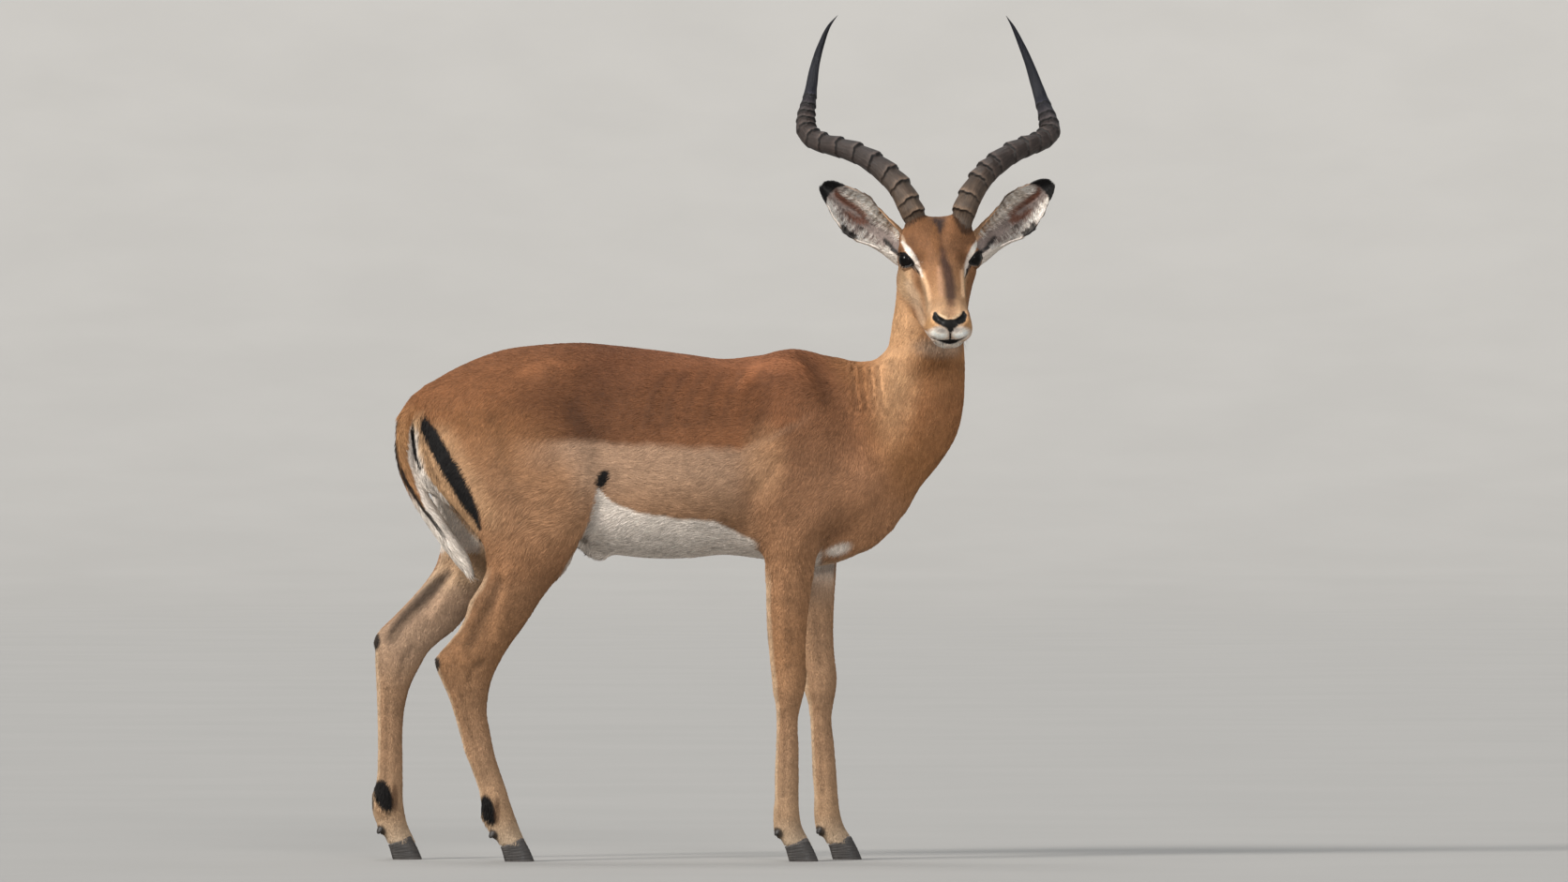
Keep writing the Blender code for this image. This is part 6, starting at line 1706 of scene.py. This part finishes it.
def ear(side, ends, mat, hair):
    steps, arc = 84, 30
    outer, inner, places, spread, across, back = ear_surface(*ends, steps, arc)
    lower = 1.0 if across[2] < 0 else -1.0
    rings = np.concatenate([outer, inner[:, ::-1]], 1)
    grid_t, grid_v = np.meshgrid(places, spread, indexing="ij")
    outside = ear_colour(grid_t, grid_v, lower, False).reshape(steps, arc, 3)
    inside = ear_colour(grid_t, grid_v, lower, True).reshape(steps, arc, 3)
    colours = np.concatenate([outside, inside[:, ::-1]], 1)
    mesh = ring_mesh("ear_" + side + "_shell", rings, colours)
    place_piece("ear_" + side + "_shell", mesh, mat, "ear_coat", "ear_" + side)

    def on(surface, t, v):
        i = np.interp(t, places, np.arange(steps))
        j = (v + 1) / 2 * (arc - 1)
        i0, j0 = np.clip(i.astype(int), 0, steps - 2), np.clip(j.astype(int), 0, arc - 2)
        fi, fj = (i - i0)[:, None], (j - j0)[:, None]
        return ((surface[i0, j0] * (1 - fj) + surface[i0, j0 + 1] * fj) * (1 - fi)
                + (surface[i0 + 1, j0] * (1 - fj) + surface[i0 + 1, j0 + 1] * fj) * fi)

    def facing(surface, t, v, sign):
        h = 0.004
        dt = on(surface, np.minimum(t + h, 1.0), v) - on(surface, np.maximum(t - h, -0.1), v)
        dv = on(surface, t, np.clip(v + h, -1, 1)) - on(surface, t, np.clip(v - h, -1, 1))
        return unit(np.cross(dt, dv)) * sign, unit(dt)

    middle_normal = facing(outer, np.array([0.5]), np.array([0.0]), 1.0)[0][0]
    sign = 1.0 if middle_normal @ back > 0 else -1.0
    # short hair on the back of the ear
    count = EAR_BACK_TUFTS
    t, v = CHANCE.uniform(-0.05, 0.985, count), CHANCE.uniform(-1, 1, count)
    n, way = facing(outer, t, v, sign)
    root = on(outer, t, v)
    way = unit(way + 0.12 * CHANCE.normal(size=(count, 3)))
    way = unit(way - (way * n).sum(1)[:, None] * n)
    size = np.where(t > 0.8, 0.0065, 0.0085) * CHANCE.uniform(0.7, 1.2, count)
    colour = ear_colour(t, v * 0.95, lower, False) * np.exp(0.12 * CHANCE.normal(size=count))[:, None]
    tuft_piece("ear_" + side + "_back_coat", "ear_coat", hair, root, n, way, size, np.full(count, 0.0013),
               np.full(count, 0.0010), colour, v, t)
    # long pale hair inside, growing in from both edges towards the tip
    count = EAR_INNER_TUFTS
    t = CHANCE.uniform(0.10, 0.975, count)
    v = lower * np.where(CHANCE.random(count) < 0.58, -1, 1) * CHANCE.beta(2.2, 1.2, count) * 0.99
    n, up = facing(inner, t, v, -sign)
    root = on(inner, t, v)
    inward = unit(on(inner, t, v * 0.80) - root)
    steep = 0.40 + 1.1 * smooth(t, 0.35, 0.9)
    way = unit(inward * (1.0 - 0.6 * smooth(t, 0.6, 0.95))[:, None] + up * steep[:, None]
               + 0.14 * CHANCE.normal(size=(count, 3)))
    way = unit(way - 0.9 * (way * n).sum(1)[:, None] * n)
    reach = 0.0150 * (1 - 0.60 * smooth(t, 0.74, 0.92)) * (0.50 + 0.50 * np.abs(v))
    reach = reach * CHANCE.uniform(0.6, 1.25, count)
    reach = reach * (1 - 0.45 * smooth(np.abs(v), 0.84, 0.99)) * (0.62 + 0.38 * smooth(t, 0.18, 0.34))
    colour = ear_colour(t, v * 0.95, lower, True)
    clump = wander(np.stack([t * EAR_LENGTH, v * 0.004, 0 * t], 1), 0.0034, 11)
    pale = smooth(0.45 * clump + 0.8 * CHANCE.random(count), -0.05, 0.60) * fade(t, 0.78, 0.84)
    pale = pale * np.maximum(smooth(np.abs(v), 0.25, 0.6),
                             0.75 * fade(t, 0.42, 0.54) * smooth(np.abs(v), 0.05, 0.3))
    dark = colour.sum(1) < 0.25
    colour = colour * (1 - 0.22 * smooth(-clump, 0.2, 0.9) * (t < 0.8))[:, None]
    colour = mix(colour, (0.80, 0.73, 0.66), 0.92 * pale * np.where(dark, 0.15, 1.0))
    colour = colour * np.exp(0.26 * CHANCE.normal(size=count))[:, None]
    tuft_piece("ear_" + side + "_inner_coat", "ear_coat", hair, root, n, way, reach, np.full(count, 0.0008),
               0.0004 + 0.0013 * CHANCE.random(count), np.clip(colour, 0, 0.85), v, t, tip=1.05)


def eye(side, which, mat):
    """A dark ball that stands out a little at the front."""
    centre, gaze, long, short = eye_frame(which)
    steps, sides = 40, 56
    turn = circle(sides)
    rings, colours, grain = [], [], []
    for angle in np.linspace(math.radians(1.5), math.radians(176), steps):
        deg = math.degrees(angle)
        radius = EYE_RADIUS + 0.0009 * max(0.0, 1 - (deg / 38.0) ** 2)
        out = np.cos(turn)[:, None] * long + np.sin(turn)[:, None] * short
        rings.append(centre + radius * (math.cos(angle) * gaze + math.sin(angle) * out))
        flat = np.hypot(deg * np.cos(turn), deg * np.sin(turn) / 0.62)
        iris = np.tile((0.0048, 0.0036, 0.0032), (sides, 1))
        iris = mix(iris, (0.0015, 0.0012, 0.0012), fade(flat, 20, 24))
        iris = mix(iris, (0.004, 0.003, 0.003), np.full(sides, float(smooth(np.array(deg), 36, 42))))
        colours.append(iris)
        grain.append(np.stack([np.cos(turn), np.sin(turn), np.full(sides, angle * 0.15)], 1))
    mesh = ring_mesh("eye_" + side + "_ball", rings, colours, grain)
    place_piece("eye_" + side + "_ball", mesh, mat, "eye", "eye_" + side)


def thin_hairs(name, lines, radius, colour, mat, slot):
    """Joined tapering hairs, three sided, along lines of equal numbers of points."""
    lines = np.asarray(lines, float)
    count, m = lines.shape[:2]
    forward = unit(np.gradient(lines, axis=1))
    aside = unit(np.cross(forward, np.array((0.31, 0.2, 0.93))))
    other = np.cross(forward, aside)
    thin = radius * (1 - 0.93 * np.linspace(0, 1, m))
    turn = circle(3)
    cos, sin = np.cos(turn)[None, None, :, None], np.sin(turn)[None, None, :, None]
    out = cos * aside[:, :, None, :] + sin * other[:, :, None, :]
    points = lines[:, :, None, :] + thin[None, :, None, None] * out
    faces = []
    for i in range(m - 1):
        for j in range(3):
            k = (j + 1) % 3
            faces.append((i * 3 + j, i * 3 + k, (i + 1) * 3 + k))
            faces.append((i * 3 + j, (i + 1) * 3 + k, (i + 1) * 3 + j))
    faces.append((2, 1, 0))
    faces.append(((m - 1) * 3, (m - 1) * 3 + 1, (m - 1) * 3 + 2))
    faces = (np.arange(count) * m * 3)[:, None, None] + np.array(faces)[None]
    colours = np.broadcast_to(np.asarray(colour, float), (count * m * 3, 3))
    mesh = new_mesh(name, points.reshape(-1, 3), faces.reshape(-1, 3), colours)
    place_piece(name, mesh, mat, slot)


def lashes(mat):
    """Curved hairs along both rims of the eye openings."""
    lines = []
    for which in (-1, 1):
        centre, gaze, long, short = eye_frame(which)
        for k in range(UPPER_LASHES + LOWER_LASHES):
            upper = k < UPPER_LASHES
            place = k + CHANCE.random()
            share = (place / UPPER_LASHES) ** 1.6 if upper else (place - UPPER_LASHES) / LOWER_LASHES
            psi = math.radians(8 + 150 * share) if upper else -math.radians(30 + 120 * share)
            ca, sa = math.cos(psi), math.sin(psi)
            wide, tall = (LID_OUTER if ca > 0 else LID_INNER), (LID_UPPER if sa > 0 else LID_LOWER)
            reach = (abs(ca) / wide) ** LID_POINT + (abs(sa) / tall) ** LID_POINT
            angle = math.radians(1.05 / reach ** (1 / LID_POINT))
            out = unit(ca * long + sa * short)
            start = centre + (EYE_RADIUS + 0.0028) * (math.cos(angle) * gaze + math.sin(angle) * out)
            reach = (0.0092 if upper else 0.0036) * (0.75 + 0.5 * CHANCE.random())
            reach = reach * (0.5 + 0.5 * max(ca, -0.5))
            lift = np.array((0.0, 0.0, 1.0)) if upper else np.array((0.0, 0.0, -1.0))
            first = unit(0.75 * gaze + 0.65 * out + 0.12 * CHANCE.normal(size=3))
            bend = unit(0.35 * gaze + 0.85 * out + 0.25 * lift)
            t = np.linspace(0, 1, 5)[:, None]
            lines.append(start + reach * (first * t + (bend - first) * t * t * 0.6))
    thin_hairs("lashes", lines, 0.00042, (0.008, 0.007, 0.007), mat, "face_coat")


def whiskers(mat):
    """Short hairs that hang from the lips and chin."""
    lines = []
    for _ in range(WHISKERS):
        s = CHANCE.uniform(-0.032, 0.032)
        f = CHANCE.uniform(0.125, 0.180)
        low = CHANCE.random() < 0.45
        start = from_head(f + 0.05, s * 1.5, -0.11 if low else -0.075)
        goal = from_head(f - 0.03, s * 0.4, -0.06)
        root = meet_flesh(start[None], unit(goal - start))[0]
        out = unit(start - goal)
        way = unit(out + np.array((0, 0, -0.5)) + 0.2 * CHANCE.normal(size=3))
        reach = CHANCE.uniform(0.010, 0.019)
        t = np.linspace(0, 1, 5)[:, None]
        lines.append(root - out * 0.002 + reach * (way * t + np.array((0, 0, -0.28)) * t * t))
    thin_hairs("whiskers", lines, 0.00022, (0.05, 0.042, 0.036), mat, "face_coat")


def hooves(mat):
    """Two toes to each foot: sloping walls with growth rings, a rounded edge and a flat sole."""
    for foot, (x, y) in FEET.items():
        for where, out in (("outer", 1), ("inner", -1)):
            outward = math.copysign(1.0, y) * out
            sides = 56
            q = np.linspace(0, 2 * math.pi, sides, endpoint=False)
            c, s = np.cos(q), np.sin(q)
            taper = 1.0 - 0.42 * np.maximum(0.0, c) ** 2
            bulge = np.sign(s) * np.abs(s) ** 0.8 * taper
            rings, colours = [], []
            levels = np.concatenate([[0.0, 0.0, 0.02, 0.05], np.linspace(0.10, 1.0, 22), [1.04]])
            for i, h in enumerate(levels):
                shrink = (0.80, 0.965, 0.985, 1.0)[i] if i < 4 else 1.0
                top = CORONET - 0.0008 + CORONET_SLOPE * (CLAW_LENGTH / 2 * c)
                z = np.maximum(0.0, top * h)
                size = np.interp(z, [0.0, 0.020, 0.060], [1.0, 0.94, 0.86]) * shrink
                back = np.interp(z, [0.0, 0.020, 0.060], [0.0, -0.007, -0.026])
                ring_step = 0.00022 * np.sin(h * 42 + 1.5 * np.sin(q + x)) * (h > 0.06)
                if h > 1.0:
                    size = size * 0.80
                    z = top
                px = (CLAW_LENGTH / 2 + ring_step) * size * c
                inner = CLAW_SPLIT / 2 + CLAW_WIDTH / 2
                py = outward * (inner + (CLAW_WIDTH / 2 + ring_step - 0.0001) * size * bulge)
                rings.append(np.stack([x + back + px, y + py, z], 1))
                light = 1 + 0.9 * smooth(np.array(h), 0.80, 1.0)
                light = light * (1 + 0.8 * fade(np.array(h), 0.0, 0.12))
                shade = np.array((0.030, 0.026, 0.024)) * light
                colours.append(np.tile(shade, (sides, 1)))
            name = "hoof_" + foot + "_" + where
            mesh = ring_mesh(name + "_wall", rings, colours)
            place_piece(name + "_wall", mesh, mat, "hoof", name)


def dewclaws(mat):
    """Two small blunt claws behind each foot."""
    points, faces, colours = [], [], []
    for x0, y0, z0 in DEWCLAWS:
        for out in (-1, 1):
            steps, sides = 9, 14
            place = np.array((x0 + 0.001, y0 + out * DEWCLAW_SPREAD * 0.95, z0 + 0.006))
            way = unit(np.array((-0.42, out * 0.25, -0.90)))
            aside = unit(np.cross(way, (0.0, 0.0, 1.0)))
            other = np.cross(way, aside)
            turn = circle(sides)
            start = len(points)
            for i in range(steps):
                t = i / (steps - 1)
                radius = 0.0052 * math.sqrt(max(0.0, 1 - t ** 2.6)) + 0.0002
                wave = 1 + 0.04 * math.sin(t * 22)
                for a in turn:
                    points.append(place + way * 0.0125 * t
                                  + radius * wave
                                  * (1.25 * math.cos(a) * aside + 0.8 * math.sin(a) * other))
                    colours.append(np.array((0.026, 0.022, 0.020)) * (1.5 - 0.7 * t))
            for i in range(steps - 1):
                for j in range(sides):
                    k = (j + 1) % sides
                    a, b = start + i * sides, start + (i + 1) * sides
                    faces += [(a + j, a + k, b + k), (a + j, b + k, b + j)]
            for j in range(1, sides - 1):
                faces.append((start, start + j + 1, start + j))
                last = start + (steps - 1) * sides
                faces.append((last, last + j, last + j + 1))
    mesh = new_mesh("dewclaws", np.array(points), np.array(faces), np.array(colours))
    face_outward(mesh)
    place_piece("dewclaws", mesh, mat, "hoof")


# ---------------------------------------------------------------- studio
VIEW_WIDTH, VIEW_DISTANCE, VIEW_MIDDLE = 2.766, 30.0, (0.225, 0.740)   # what the camera sees, in metres


def studio():
    """A wide shallow bowl: a flat pale floor that rises far away on every side."""
    rows = [(r, 0.0) for r in (0.0, 3.0, 8.0, 20.0, 40.0)]
    rows += [(46.0 + 24.0 * math.sin(a), 24.0 - 24.0 * math.cos(a)) for a in np.linspace(0.0, 1.25, 12)]
    sides = 72
    turn = circle(sides)
    points, faces = [], []
    for r, z in rows[1:]:
        points += [(r * math.cos(a), r * math.sin(a), z - FLOOR_GAP) for a in turn]
    centre = len(points)
    points.append((0.0, 0.0, -FLOOR_GAP))
    for j in range(sides):
        k = (j + 1) % sides
        faces.append((centre, j, k))
        for i in range(len(rows) - 2):
            faces.append((i * sides + j, (i + 1) * sides + j, (i + 1) * sides + k, i * sides + k))
    mesh = bpy.data.meshes.new("floor")
    mesh.from_pydata(points, [], faces)
    soften(mesh)
    floor = link("floor", mesh)
    look = Looks("floor_surface")
    mottle = look.noise(1.4, 4.0, 0.5, coords(look))
    plain = look.add("ShaderNodeRGB")
    plain.outputs[0].default_value = (0.37, 0.36, 0.345, 1.0)
    look.wire(look.tint(plain, "Color", look.ramp(mottle, 0.98, 1.02)), "Vector", look.shader, "Base Color")
    look.set(Roughness=0.9)
    floor.data.materials.append(look.mat)


def sun(name, way, power, softness, colour):
    data = bpy.data.lights.new(name, "SUN")
    data.energy = power
    data.angle = math.radians(softness)
    data.color = colour
    ob = bpy.data.objects.new(name, data)
    bpy.context.scene.collection.objects.link(ob)
    ob.location = (0.0, -3.0, 6.0)
    ob.rotation_euler = Vector(way).to_track_quat("-Z", "Y").to_euler()


def light_and_camera():
    scene = bpy.context.scene
    scene.view_settings.view_transform = "Standard"
    world = bpy.data.worlds.new("studio")
    world.use_nodes = True
    world.node_tree.nodes["Background"].inputs["Color"].default_value = (0.90, 0.95, 1.0, 1.0)
    world.node_tree.nodes["Background"].inputs["Strength"].default_value = 0.46
    scene.world = world
    sun("key", (0.80, 0.62, -0.58), 3.0, 14.0, (1.0, 0.965, 0.91))
    sun("front", (-0.22, 0.93, -0.28), 1.65, 20.0, (1.0, 0.98, 0.96))
    sun("top", (0.10, -0.40, -0.90), 0.70, 24.0, (1.0, 0.98, 0.95))
    data = bpy.data.cameras.new("camera")
    camera = bpy.data.objects.new("camera", data)
    scene.collection.objects.link(camera)
    data.sensor_width = 36.0
    data.lens = data.sensor_width * VIEW_DISTANCE / VIEW_WIDTH
    data.clip_end = 150.0
    camera.location = Vector((VIEW_MIDDLE[0], -VIEW_DISTANCE, VIEW_MIDDLE[1])) + Vector(SHIFT)
    camera.rotation_euler = (math.pi / 2, 0.0, 0.0)
    scene.camera = camera


# ---------------------------------------------------------------- put together
MASSES, SWELLS = flesh()
MASSES.append(tail_stack())
FOLDS = [side_swell(*row, side) for row in SIDE_LINES for side in (-1, 1)]
FOLDS += [side_swell(*row, side, inner) for side, *row in LEG_LINES for inner in (False, True)]
for line, reach, height in FACE_LINES:
    start = np.array([(x, -0.42, z) for x, z in line])
    FOLDS.append(Swell(meet_flesh(start, np.array((0.0, 1.0, 0.0))), reach, height))
SWELLS += FOLDS

skin_mesh = build_skin()
skin_points, skin_normals = (numbers(skin_mesh.vertices, part, np.float32, 3).astype(float)
                             for part in ("co", "normal"))
paint(skin_mesh, coat_colour(skin_points, skin_normals))
wet = (skin_normals[:, 1] < 0.2) * fade(nose_gap(skin_points), -0.0005, 0.0010)
for which in (-1, 1):
    e, _, reach = eye_opening(skin_points, which)[:3]
    wet = np.maximum(wet, (reach < 0.03) * fade(e, 1.10, 1.20))
layer = skin_mesh.attributes.new("Wet", "FLOAT", "POINT")
layer.data.foreach_set("value", wet.astype(np.float32))
skin_coat(skin_mesh, skin_points, skin_normals)
skin_mesh.vertices.foreach_set("co", (skin_points + SHIFT).ravel())
soften(skin_mesh)
flesh_nodes = [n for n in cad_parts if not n.startswith(("eye", "horn", "hoof", "ear"))]
place_piece("skin", skin_mesh, skin_material(), "coat", *flesh_nodes)

horn_look = horn_material()
ear_look, ear_hair = dark_material("ear_skin", (0.6, 0.8)), hair_material("ear_coat")
eye_look = eye_material()
for side, rows in (("right", HORN_RIGHT), ("left", HORN_LEFT)):
    horn(side, rows, horn_look)
for side, ends in (("right", EAR_RIGHT), ("left", EAR_LEFT)):
    ear(side, ends, ear_look, ear_hair)
for side, which in (("right", -1), ("left", 1)):
    eye(side, which, eye_look)
dark = dark_material("dark_hair")
lashes(dark)
whiskers(dark)
hoof_look = hoof_material()
hooves(hoof_look)
dewclaws(hoof_look)
studio()
light_and_camera()
